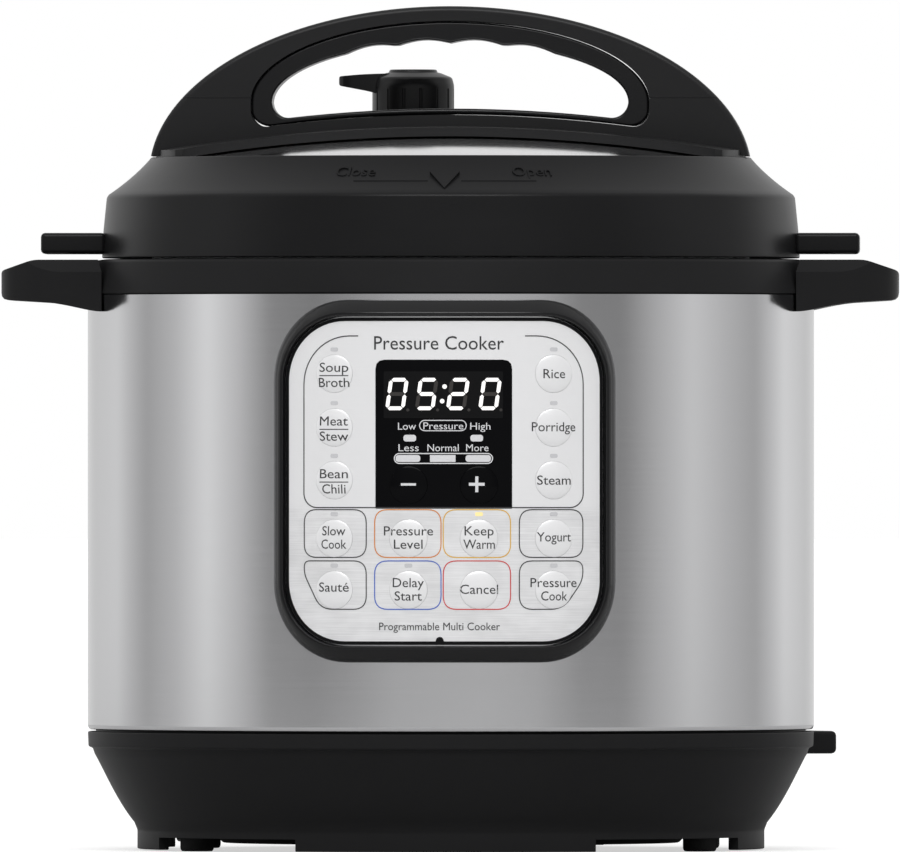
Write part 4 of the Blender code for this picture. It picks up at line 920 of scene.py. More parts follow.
class Kit(Enum):
    """Every finish on the cooker."""

    SLEEVE = BrushedSteel("sleeve_steel", "brushed", (0.60, 0.60, 0.61), 0.14, anisotropy=0.15)
    CROWN = BrushedSteel("crown_steel", "brushed", (0.95, 0.95, 0.96), 0.10, length=18.0, anisotropy=0.15)
    BRACKET = BrushedSteel("bracket_steel", "brushed", (0.56, 0.56, 0.57), 0.3, length=9.0)
    POT = PolishedSteel("pot_steel", "polished", (0.68, 0.68, 0.69), 0.14)
    BRIGHT = PolishedSteel("bright_steel", "polished", (0.70, 0.70, 0.71), 0.08)
    CASTING = CastAluminium("cast_aluminium", "aluminium", (0.56, 0.57, 0.58), 0.38)
    SHELL = MouldedPlastic("shell_plastic", "black", (0.0135, 0.0135, 0.014), 0.38, gloss=0.04)
    LID = MouldedPlastic("lid_plastic", "black", (0.0085, 0.0085, 0.009), 0.30, gloss=0.12)
    HANDLE = MouldedPlastic("handle_plastic", "black", (0.007, 0.007, 0.0075), 0.40, relief=0.02)
    INSERT = MouldedPlastic("insert_plastic", "black", (0.004, 0.004, 0.0045), 0.26, relief=0.008)
    KNOB = MouldedPlastic("knob_plastic", "black", (0.008, 0.008, 0.0085), 0.3)
    BEZEL = MouldedPlastic("bezel_gloss", "black", (0.005, 0.005, 0.0055), 0.18, relief=0.003, coat=0.1)
    PLATE = SilverFilm("panel_film", "silver", (0.89, 0.89, 0.90), 0.34)
    DOME = SilverFilm("button_film", "button", (0.90, 0.90, 0.91), 0.30, line=60.0)
    WINDOW = MouldedPlastic("window_gloss", "window", (0.0015, 0.0015, 0.002), 0.12, relief=0.001, gloss=0.06)
    RUBBER = MouldedPlastic("foot_rubber", "rubber", (0.013, 0.013, 0.013), 0.78, grain=0.6, relief=0.03)
    SILICONE = Translucent("ring_silicone", "silicone", (0.72, 0.73, 0.72), 0.42, clear=0.35, index=1.41)
    CUP = Translucent("cup_plastic", "cup", (0.62, 0.64, 0.65), 0.12, clear=0.75, index=1.5)
    BOARD = CircuitBoard("board_laminate", "board", (0.02, 0.13, 0.05), 0.42)
    BRASS = PolishedSteel("brass_contact", "brass", (0.74, 0.56, 0.28), 0.18)
    INK_BLACK = Ink("ink_black", "black", (0.028, 0.028, 0.030), 0.45)
    INK_ORANGE = Ink("ink_orange", "button", (0.73, 0.24, 0.025), 0.45)
    INK_YELLOW = Ink("ink_yellow", "button", (0.80, 0.46, 0.045), 0.45)
    INK_BLUE = Ink("ink_blue", "button", (0.040, 0.125, 0.58), 0.45)
    INK_RED = Ink("ink_red", "button", (0.68, 0.040, 0.042), 0.45)
    INK_WHITE = Ink("ink_white", "button", (0.78, 0.78, 0.80), 0.5)
    LAMP_CLEAR = Ink("lamp_clear", "button", (0.66, 0.66, 0.68), 0.25)
    # Dark smoked print of the display; the same finish also paints the shade of the gap between bezel and plate.
    SMOKE = MouldedPlastic("display_smoke", "window", (0.004, 0.004, 0.0045), 0.3, relief=0.001, gloss=0.1)
    LAMP_AMBER = Lamp("lamp_amber", "window", (1.0, 0.80, 0.36), 0.3, glow=1.0)
    DIGIT_OFF = Ink("digit_off", "window", (0.030, 0.026, 0.024), 0.35)
    DIGIT = Lamp("digit_lit", "window", (1.0, 0.98, 0.96), 0.3, glow=1.1)


def install(part: Part, body: str, finish: Kit, *nodes: str) -> Part:
    """Gives a part its finish and its place on the frame.

    Args:
        part: The finished part.
        body: CAD body that it rides on.
        finish: Its finish.
        nodes: CAD nodes that it stands for.

    Returns:
        The same part.
    """
    settle(part)
    part.data.materials.clear()
    part.data.materials.append(finish.value.material())
    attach(part, body)
    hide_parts(*nodes)
    LOG.info("%s rides %s in %s", part.name, body, finish.value.name)
    return part


def repaint(node: str, finish: Kit) -> None:
    """Gives a CAD node that stays a finish."""
    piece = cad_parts[node]
    piece.data.materials.clear()
    piece.data.materials.append(finish.value.material())
    LOG.info("%s stays, in %s", node, finish.value.name)


# ---------------------------------------------------------------- base
@dataclass
class Base:
    """The moulded base with its foot ring, underside, feet, screws and mains inlet."""

    radius: float = field(default_factory=lambda: cad("outer_body").high.x)
    top: float = 39.5
    band: float = 5.0
    ring: float = 104.5
    ring_wall: float = 3.5
    ring_lift: float = 0.4
    spigot: float = 118.3
    spigot_top: float = field(default_factory=lambda: cad("base_housing").high.z)
    inlet_angle: float = 24.0
    screw_circle: float = 88.0
    screw_angles: tuple[float, ...] = (60.0, 180.0, 300.0)

    def build(self) -> None:
        """Builds every piece of the base."""
        self.housing()
        self.cover()
        self.feet()
        self.screws()
        self.inlet()

    def bowl(self) -> list[Point]:
        """The side from under the rim band down to the foot ring."""
        top, bottom = (self.radius - 2.3, self.top - self.band - 2.5), (self.ring + 1.0, 9.2)
        return curve(top, (top[0] - 2.9, top[1] - 5.0), (bottom[0] + 6.0, bottom[1] + 7.3), bottom)

    def housing(self) -> None:
        """The bowl, its foot ring with four gaps, the spigot and the hood over the inlet."""
        side = self.bowl()
        inner_ring, inner_spigot = self.ring - self.ring_wall, self.spigot - 2.5
        outline = [
            (self.radius, self.top, 0.5),
            (self.radius - 0.2, self.top - self.band, 0.6),
            (self.radius - 1.6, self.top - self.band - 0.5, 0.4),
            *side,
            (self.ring, side[-1][1] - 2.5, 0.5),
            (self.ring, self.ring_lift, 0.5),
            (inner_ring, self.ring_lift, 0.5),
            (inner_ring, side[-1][1] - 2.0, 0.5),
            *[(r - 2.6, z + 1.2) for r, z in reversed(side)],
            (inner_spigot, self.top - self.band + 1.0),
            (inner_spigot, self.spigot_top, 0.3),
            (self.spigot, self.spigot_top, 0.5),
            (self.spigot, self.top, 0.2),
        ]
        base = turned("base_shell", outline, 160)
        for middle in (42.3, 137.7, 222.3, 317.7):
            cut(base, sector("ring_gap", inner_ring - 2, self.ring + 2, -1.0, 4.5, middle, 19.3))
        hood = block(
            "inlet_hood", (self.radius - 4.0, -13.0, 31.6), (self.radius + 14.0, 13.0, 39.2), self.inlet_angle
        )
        join(base, softened(hood, 1.6, 3))
        mouth = block("inlet_mouth", (89.5, -13.5, 12.5), (self.radius + 5.0, 13.5, 31.5), self.inlet_angle)
        cut(base, mouth)
        for angle in self.screw_angles:
            where = around(self.screw_circle, angle)
            join(base, turned("boss", [(1.9, 6.9), (4.0, 6.9), (4.0, 15.9), (1.9, 15.9)], 24, where))
            join(base, block("rib", (self.screw_circle + 3.0, -1.2, 7.4), (self.ring - 1.0, 1.2, 10.4), angle))
        install(smooth(base), "base", Kit.SHELL, "base_housing")

    def cover(self) -> None:
        """The underside plate with its vents, screw holes and board posts."""
        rim = self.ring - self.ring_wall - 0.5
        outline = [
            (0.0, 2.4),
            (76.0, 2.4, 0.6),
            (78.0, 4.6, 0.6),
            (84.0, 4.6, 0.2),
            (84.4, 4.2, 0.2),
            (92.0, 4.2, 0.2),
            (92.4, 4.6, 0.2),
            (rim, 4.6, 0.3),
            (rim, 6.6, 0.3),
            (77.0, 6.6, 0.6),
            (75.0, 4.4, 0.6),
            (0.0, 4.4),
        ]
        plate = turned("underside_plate", outline, 128)
        for i in range(5):
            y = (i - 2) * 8.0
            vent = rounded_square(34.0, y - 1.5, y + 1.5, 1.45, 5)
            cut(plate, slab("vent", vent, 0.0, 8.0))
        for angle in self.screw_angles:
            cut(plate, rod("screw_hole", 2.1, 0.0, 9.2, 24, around(self.screw_circle, angle)))
        for x, y in ((38.0, 24.0), (-38.0, 24.0), (38.0, -24.0), (-38.0, -24.0)):
            post = [(0.0, 3.9), (3.0, 3.9), (3.0, 13.7, 0.3), (0.0, 13.7)]
            join(plate, turned("board_post", post, 24, (x, y)))
        install(smooth(plate), "base", Kit.SHELL, "bottom_cover")

    def feet(self) -> None:
        """Four rubber feet with a dished sole."""
        outline = [
            (0.0, 0.5), (2.6, 0.5, 0.4), (3.2, 0.0, 0.3), (5.1, 0.0, 0.6), (5.6, 0.9, 0.6), (5.6, 4.3), (0.0, 4.3),
        ]
        first = turned("foot", outline, 40)
        for place in ("front_left", "front_right", "rear_left", "rear_right"):
            node = f"foot_{place}"
            middle = cad(node).middle
            twin = placed(copied(first, f"rubber_{node}"), Matrix.Translation((middle.x, middle.y, 0.0)))
            install(smooth(twin), "base", Kit.RUBBER, node)
        discard(first)

    def screws(self) -> None:
        """Three pan-head screws with a cross recess."""
        outline = [
            (0.0, 2.7), (2.9, 2.7, 0.5), (3.5, 3.4, 0.4), (3.5, 4.3), (1.6, 4.3), (1.6, 12.6), (0.3, 13.6),
            (0.0, 13.6),
        ]
        first = turned("screw", outline, 32)
        for x, y in ((2.0, 0.42), (0.42, 2.0)):
            cut(first, block("cross", (-x, -y, 2.0), (x, y, 3.8)))
        for i, angle in enumerate(self.screw_angles):
            where = Matrix.Translation((*around(self.screw_circle, angle), 0.0))
            screw = placed(copied(first, f"cover_screw_{i + 1}"), where)
            install(smooth(screw), "base", Kit.BRIGHT, f"base_screw_{i + 1}")
        discard(first)

    def inlet(self) -> None:
        """The recessed mains inlet and its three pins."""
        socket = softened(block("mains_inlet", (90.0, -13.0, 13.0), (110.0, 13.0, 31.0), 0.0), 1.2, 3)
        half = [(9.6, 15.0, 2.0), (11.0, 22.0, 2.0), (7.4, 29.0, 2.0)]
        outline = [(-9.6, 15.0, 2.0), *half, *[(-y, z, r) for y, z, r in half[:0:-1]]]
        cut(socket, slab("recess", outline, 92.0, 112.0, Along.X))
        turn = Matrix.Rotation(math.radians(self.inlet_angle), 4, "Z")
        install(smooth(placed(socket, turn)), "base", Kit.SHELL, "power_inlet")
        for name, across, up in (("live", -7.0, 20.0), ("earth", 0.0, 24.5), ("neutral", 7.0, 20.0)):
            pin = turned("pin", [(0.0, 0.0), (1.6, 0.0), (1.6, 9.0, 1.2), (0.0, 9.0)], 24)
            seat = Matrix.Translation((92.3, across, up)) @ Matrix.Rotation(math.radians(90.0), 4, "Y")
            install(smooth(placed(named(pin, f"pin_{name}"), turn @ seat)), "base", Kit.BRASS, f"inlet_pin_{name}")


# ---------------------------------------------------------------- body
@dataclass
class Body:
    """The steel sleeve, the collar, the side handles and the condensation cup."""

    radius: float = field(default_factory=lambda: cad("outer_body").high.x)
    low: float = field(default_factory=lambda: cad("outer_body").low.z)
    high: float = field(default_factory=lambda: cad("outer_body").high.z)
    panel_middle: float = field(default_factory=lambda: cad("panel_plate").middle.z)
    collar_top: float = field(default_factory=lambda: cad("cooker_collar").high.z)
    handle_tip: float = field(default_factory=lambda: cad("side_handle_right").high.x)
    handle_half: float = field(default_factory=lambda: cad("side_handle_right").high.y)

    def build(self) -> None:
        """Builds every piece of the body."""
        self.sleeve()
        self.collar()
        self.side_handles()
        self.cup()

    def sleeve(self) -> None:
        """The brushed sleeve with a rolled foot and the opening behind the panel."""
        outline = [
            (self.radius, self.high, 0.25),
            (self.radius, self.low + 1.0, 0.6),
            (self.radius - 0.6, self.low, 0.4),
            (118.8, self.low, 0.2),
            (118.8, self.low + 0.8, 0.2),
            (self.radius - 0.8, self.low + 1.2, 0.4),
            (self.radius - 0.8, self.high, 0.25),
        ]
        sleeve = turned("steel_sleeve", outline, 192)
        half, middle = 48.0, self.panel_middle
        opening = rounded_square(half, middle - half, middle + half, 21.0)
        cut(sleeve, slab("opening", opening, -126.0, -60.0, Along.Y))
        install(smooth(sleeve), "base", Kit.SLEEVE, "outer_body")

    def collar(self) -> None:
        """The moulded collar with its water gutter and the drain at the back."""
        low, top = self.high + 0.3, self.collar_top
        gutter, land = top - 7.6, self.radius - 7.2
        outline = [
            (self.radius + 0.2, low, 0.3),
            (self.radius - 2.4, top - 0.5, 0.9),
            (land + 1.0, top, 0.8),
            (land, top - 0.4, 0.4),
            (land - 0.6, gutter, 1.2),
            (102.2, gutter, 1.0),
            (101.8, gutter + 3.8, 0.5),
            (100.0, gutter + 3.8, 0.4),
            (100.0, gutter - 2.4),
            (117.4, gutter - 2.4),
            (117.4, low - 4.0),
            (119.7, low - 4.0),
            (119.7, low),
        ]
        collar = turned("collar_ring", outline, 160)
        spout = sector("spout", self.radius - 5.0, self.radius + 8.0, low + 1.8, low + 6.0, 90.0, 10.0)
        join(collar, softened(spout, 0.8))
        install(smooth(collar), "base", Kit.SHELL, "cooker_collar")

    def side_handles(self) -> None:
        """Two grips on the collar, each with the slot that holds the stood-up lid."""
        for name, side in (("left", -1), ("right", 1)):
            install(smooth(self.grip(name, side), 36.0), "base", Kit.SHELL, f"side_handle_{name}")

    def grip(self, name: str, side: int) -> Part:
        """One side handle.

        Args:
            name: "left" or "right".
            side: -1 or 1.

        Returns:
            The handle.
        """
        top, tip, root = self.collar_top - 0.3, self.handle_tip, self.radius - 20.0
        under = curve((115.0, top - 17.3), (120.0, top - 17.3), (126.0, top - 14.9), (134.0, top - 14.2), 8)
        front = [
            (root, top - 17.3),
            *under,
            (tip, top - 13.3, 2.6),
            (tip, top - 3.7, 1.6),
            (tip - 2.4, top - 2.9, 0.8),
            (138.3, top, 2.0),
            (root, top),
        ]
        outline = [(side * p[0], *p[1:]) for p in front]
        handle = slab(f"grip_{name}", outline, -44.0, 44.0, Along.Y)
        half, corner = self.handle_half, 20.0
        plan = [(root, -half), *arc((tip - corner, corner - half), corner, -90, 0, 20)]
        plan += [*arc((tip - corner, half - corner), corner, 0, 90, 20), (root, half)]
        trim(handle, slab("plan", [(side * x, y) for x, y in plan], top - 25.0, top + 5.0))
        for mirror in (-1, 1):
            y = mirror * half
            wedge = [(y + mirror * 4, top - 8), (y - mirror * 6, top + 2), (y + mirror * 4, top + 4)]
            cut(handle, slab("slope", wedge, *sorted((side * 90.0, side * 160.0)), Along.X))
        softened(handle, 1.1, 3, 40.0)
        seat = [(0.0, top - 30.0), (self.radius + 0.5, top - 30.0), (self.radius + 0.5, top + 9.0), (0.0, top + 9.0)]
        cut(handle, turned("seat", seat, 160))
        ends = sorted((side * 127.5, side * 136.5))
        return cut(handle, slab("slot", box(*ends, -16.5, 16.5, 2.5), top - 26.0, top + 5.0))

    def cup(self) -> None:
        """The clear cup that catches condensed water at the back."""
        span = cad("condensation_cup")
        inner, outer, low, top = self.radius + 0.5, self.radius + 8.3, span.low.z, span.high.z
        cup = softened(sector("drip_cup", inner, outer, low, top, 90.0, 12.5), 1.0, 3)
        hollow = sector("hollow", inner + 1.4, outer - 1.4, low + 1.4, top + 3.0, 90.0, 11.8)
        cut(cup, softened(hollow, 0.6, 2))
        install(smooth(cup), "collector", Kit.CUP, "condensation_cup")


# ---------------------------------------------------------------- pot and heater
@dataclass
class Hearth:
    """The pot, the pressure housing, the heating plate and the sensor."""

    rim: float = field(default_factory=lambda: cad("inner_pot").high.z)
    floor: float = field(default_factory=lambda: cad("inner_pot").low.z)

    def build(self) -> None:
        """Builds the turned pieces and repaints the CAD pieces under them."""
        self.pot()
        self.housing()
        self.heater()
        for node, finish in (
            ("power_board", Kit.BOARD),
            ("control_board", Kit.BOARD),
            ("sensor_bracket", Kit.BRACKET),
            ("sensor_spring", Kit.BRIGHT),
            ("pressure_switch", Kit.SHELL),
        ):
            repaint(node, finish)

    def pot(self) -> None:
        """The inner pot with its curled flange."""
        low, rim = self.floor, self.rim
        outline = [
            (0.0, low),
            (92.0, low, 9.0),
            (92.0, rim - 1.2, 1.0),
            (98.8, rim - 1.2, 0.5),
            (98.8, rim, 0.5),
            (91.0, rim, 1.2),
            (91.0, low + 3.0, 8.0),
            (0.0, low + 3.0),
        ]
        install(smooth(turned("cooking_pot", outline, 160)), "pot", Kit.POT, "inner_pot")

    def housing(self) -> None:
        """The pressure housing with its six bayonet tabs."""
        top, low = cad("pressure_housing").high.z, cad("pressure_housing").low.z
        outline = [
            (24.0, low, 0.5),
            (93.5, low, 5.0),
            (99.5, low + 6.0, 5.0),
            (99.5, top - 1.5, 0.4),
            (106.0, top - 1.5, 0.4),
            (106.0, top, 0.4),
            (97.6, top, 0.5),
            (97.6, low + 6.9, 4.0),
            (92.6, low + 1.9, 4.0),
            (24.0, low + 1.9, 0.5),
        ]
        shell = turned("pressure_shell", outline, 160)
        for i in range(6):
            cut(shell, sector("gap", 100.3, 109.0, top - 3.0, top + 1.0, 30.0 + 60.0 * i, 17.0, 10))
        install(smooth(shell), "base", Kit.CASTING, "pressure_housing")

    def heater(self) -> None:
        """The cast heating plate and the sprung sensor in its middle."""
        top = cad("heating_plate").high.z
        low = top - 10.0
        plate = [
            (17.0, low), (60.0, low, 0.5), (60.0, low - 4.0, 0.5), (70.0, low - 4.0, 0.5), (70.0, low, 0.5),
            (81.0, low, 1.5), (84.0, low + 2.5, 1.0), (84.0, top - 2.0, 1.5), (82.0, top, 1.0),
            (58.0, top, 0.3), (57.4, top - 0.5, 0.3), (56.0, top - 0.5, 0.3), (55.4, top, 0.3), (17.0, top, 0.8),
        ]
        install(smooth(turned("heater_disc", plate, 128)), "base", Kit.CASTING, "heating_plate")
        foot, cap = cad("temperature_sensor").low.z, cad("temperature_sensor").high.z
        sensor = [
            (0.0, foot), (4.0, foot, 0.8), (4.0, cap - 8.0, 0.3), (16.2, cap - 8.0, 0.5), (16.2, cap - 1.0, 0.8),
            (15.2, cap, 0.6), (11.0, cap, 0.3), (10.5, cap - 0.4, 0.2), (9.5, cap - 0.4, 0.2), (9.0, cap, 0.3),
            (0.0, cap),
        ]
        install(smooth(turned("sensor_button", sensor, 64)), "sensor", Kit.CASTING, "temperature_sensor")


# ---------------------------------------------------------------- lid
@dataclass
class Lid:
    """The steel lid, its moulded cover, the sealing ring and its rack."""

    bottom: float = field(default_factory=lambda: cad("lid_cover").low.z)
    cone_top: float = 230.8
    crown_radius: float = 99.8
    crown_rise: float = 7.0
    fall: float = 0.0008635

    def crown(self, radius: float) -> float:
        """Height of the steel crown at a radius."""
        return self.cone_top + self.crown_rise - self.fall * radius * radius

    def build(self) -> None:
        """Builds every piece of the lid but its handle and valves."""
        self.steel()
        self.cover()
        self.marks()
        self.ring()

    def steel(self) -> None:
        """The pressed lid with its crown, shoulder, skirt and six lugs."""
        edge, top, shoulder = 97.0, self.cone_top, 212.1
        crown = [(edge * i / 22, self.crown(edge * i / 22)) for i in range(23)]
        outline = [
            *crown,
            (99.5, top - 3.5, 1.0), (100.5, top - 7.0, 1.0), (100.8, shoulder + 2.5, 1.2),
            (103.0, shoulder + 0.5, 1.0),
            (108.5, shoulder, 1.0), (109.5, shoulder - 1.5, 1.0), (109.5, 198.2, 0.3), (102.5, 198.2, 0.3),
            (102.5, 200.0, 0.3), (108.0, 200.0, 0.4), (108.0, shoulder - 1.9, 1.0), (102.6, shoulder - 1.0, 1.0),
            (99.3, shoulder + 1.2, 1.0), (99.0, top - 7.4, 1.0), (96.0, top - 4.6, 1.0),
            *[(r, z - 1.5) for r, z in reversed(crown[:-1])],
        ]
        lid = turned("steel_lid", outline, 160)
        for i in range(6):
            cut(lid, sector("lug_gap", 99.5, 108.0, 197.2, 201.0, 30.0 + 60.0 * i, 17.0, 10))
        for at, radius in ((Valves.valve_at, 4.5), (Valves.float_at, 3.5)):
            cut(lid, rod("hole", radius, 190.0, 250.0, 32, at))
        install(smooth(lid), "lid", Kit.CROWN, "lid_steel")

    def cover(self) -> None:
        """The moulded cover: a leaning wall, a cone up to the crown and two fins."""
        low, top, edge = self.bottom, self.cone_top, self.crown_radius
        outline = [
            (edge - 1.2, top - 0.4, 0.3), (edge, top, 0.5),
            *curve((edge + 0.7, top - 0.9), (104.0, top - 5.0), (109.6, top - 9.6), (114.0, top - 12.5), 8),
            (114.7, top - 13.5, 0.5), (115.8, 206.3, 0.8), (116.3, low, 0.6), (113.8, low, 0.3),
            (113.3, 206.3, 0.5), (112.2, 216.3, 0.5), (101.5, top - 4.6, 0.5), (100.3, top - 2.4, 0.3),
            (edge - 1.2, self.crown(edge - 1.2) + 0.3),
        ]
        cover = turned("lid_shell", outline, 192)
        for side in (-1, 1):
            ends = sorted((side * 114.8, side * 136.3))
            fin = block("fin", (ends[0], -15.0, low + 1.4), (ends[1], 15.0, low + 8.4))
            join(cover, softened(fin, 1.4, 3))
        install(smooth(cover), "lid", Kit.LID, "lid_cover")

    def marks(self) -> None:
        """The raised words on the cone, with the line and the arrow between them."""
        for text, turn in (("Close", -16.2), ("Open", 15.8)):
            mark = modified(Printer.letters(text, 6.0), "SOLIDIFY", thickness=0.8 * MM, offset=0.0)
            spot = Matrix.Translation((0.0, -106.6, 223.7)) @ Matrix.Rotation(math.radians(-44.0), 4, "X")
            placed(mark, Matrix.Rotation(math.radians(turn), 4, "Z") @ spot)
            install(named(mark, f"mark_{text.lower()}"), "lid", Kit.LID)
        for side, start in (("left", -16.1), ("right", 2.9)):
            line = sector(f"mark_line_{side}", 107.6, 109.0, 221.9, 222.3, -90.0 + start + 6.6, 6.6)
            install(line, "lid", Kit.LID)
        arrow = Printer.shape(stroke([(-4.8, 8.0), (0.0, 0.0), (4.8, 8.0)], 0.35))
        modified(arrow, "SOLIDIFY", thickness=1.4 * MM, offset=0.0)
        spot = Matrix.Translation((0.0, -111.9, 219.4)) @ Matrix.Rotation(math.radians(-47.0), 4, "X")
        install(named(placed(arrow, spot), "mark_arrow"), "lid", Kit.LID)

    def ring(self) -> None:
        """The silicone sealing ring and the wire rack that holds it."""
        low, outer = cad("sealing_ring").low.z, cad("sealing_ring").high.x
        outline = [
            (outer - 8.5, low, 0.8), (outer, low + 0.8, 0.6), (outer, low + 4.4, 0.6), (outer - 2.9, low + 5.0, 0.6),
            (outer - 3.3, low + 3.0, 0.4), (outer - 7.0, low + 2.6, 0.4), (outer - 9.0, low + 1.6, 0.6),
        ]
        install(smooth(turned("seal_ring", outline, 160)), "seal", Kit.SILICONE, "sealing_ring")
        rack = turned("wire_rack", arc((outer - 5.2, low + 4.2), 0.9, 0, 315, 7), 128)
        install(smooth(rack, 60.0), "seal", Kit.BRIGHT, "seal_rack")


@dataclass
class Valves:
    """The steam release knob with its pipe, weight and shield, and the float valve."""

    valve_at = (-13.5, 46.0)
    float_at = (16.0, 47.0)
    low: float = field(default_factory=lambda: cad("steam_release_knob").low.z)
    top: float = field(default_factory=lambda: cad("steam_release_knob").high.z)

    def build(self) -> None:
        """Builds the two valves."""
        self.knob()
        self.pipe()
        self.float()

    def knob(self) -> None:
        """The knob: a round skirt, a stepped cap and a finger lever towards -X."""
        low, top = self.low, self.top
        weight_top = top - 4.5
        outline = [
            (0.0, weight_top + 0.3), (5.2, weight_top + 0.3), (5.2, low, 0.2), (13.2, low, 0.3),
            (13.7, low + 0.8, 0.4),
            (13.7, top - 5.2, 0.8), (13.0, top - 2.7, 0.7), (9.0, top - 1.1, 0.5), (8.2, top - 1.0, 0.2),
            (7.8, top, 0.5),
            (0.0, top),
        ]
        knob = turned("release_knob", outline, 72)
        side = [
            (-7.0, top - 10.0), (-14.2, top - 7.4, 2.0), (-24.8, top - 5.4, 0.8), (-24.8, top - 2.3, 0.8),
            (-17.0, top - 1.6, 3.0), (-7.0, top - 1.3),
        ]
        lever = slab("lever", side, -6.5, 6.5, Along.Y)
        plan = [
            (-5.0, -6.0), (-5.0, 6.0), (-14.0, 5.6), (-22.0, 4.6, 3.0), (-24.8, 3.2, 2.5), (-24.8, -3.2, 2.5),
            (-22.0, -4.6, 3.0), (-14.0, -5.6),
        ]
        trim(lever, slab("lever_plan", plan, low, top + 5.0))
        join(knob, softened(lever, 0.5, 2))
        for i in range(13):
            cut(knob, rod("groove", 0.55, low + 2.0, top - 6.4, 10, around(13.75, -150.0 + 24.0 * i)))
        where = Matrix.Translation((*self.valve_at, 0.0))
        install(smooth(placed(knob, where)), "knob", Kit.KNOB, "steam_release_knob")

    def pipe(self) -> None:
        """The steam pipe, the weight on it and the shield under the lid."""
        span = cad("steam_pipe")
        outline = [
            (2.0, span.low.z, 0.3), (4.2, span.low.z, 0.4), (4.2, span.high.z - 3.0, 0.5), (2.6, span.high.z, 0.3),
            (2.0, span.high.z, 0.2),
        ]
        install(smooth(turned("pipe_stub", outline, 40, self.valve_at)), "lid", Kit.BRIGHT, "steam_pipe")
        span = cad("valve_weight")
        outline = [(0.0, span.low.z), (4.6, span.low.z, 0.5), (4.6, span.high.z, 0.5), (0.0, span.high.z)]
        install(smooth(turned("weight_slug", outline, 40, self.valve_at)), "valve", Kit.BRIGHT, "valve_weight")
        span = cad("pipe_shield")
        low, top = span.low.z, span.high.z
        outline = [
            (0.0, low), (9.0, low, 1.2), (9.0, top, 0.6), (4.7, top, 0.2), (4.7, top - 1.2, 0.2),
            (7.8, top - 1.2, 0.4),
            (7.8, low + 1.2, 0.6), (0.0, low + 1.2),
        ]
        shield = turned("shield_cap", outline, 56, self.valve_at)
        for i in range(6):
            x, y = around(5.2, 60.0 * i)
            cut(shield, rod("hole", 1.1, low - 1.0, low + 2.0, 14, (self.valve_at[0] + x, self.valve_at[1] + y)))
        install(smooth(shield), "lid", Kit.BRIGHT, "pipe_shield")

    def float(self) -> None:
        """The float pin and its silicone cap."""
        span = cad("float_valve")
        low, top = span.low.z, span.high.z
        outline = [
            (0.0, low), (5.0, low, 0.4), (5.0, low + 2.0, 0.4), (3.0, low + 2.0, 0.2), (3.0, top, 0.7), (0.0, top),
        ]
        install(smooth(turned("float_pin", outline, 40, self.float_at)), "float", Kit.BRIGHT, "float_valve")
        span = cad("float_seal_cap")
        outline = [(0.0, span.low.z), (5.5, span.low.z, 0.7), (5.5, span.high.z, 0.5), (0.0, span.high.z)]
        cap = turned("float_cap", outline, 40, self.float_at)
        install(smooth(cap), "float", Kit.SILICONE, "float_seal_cap")


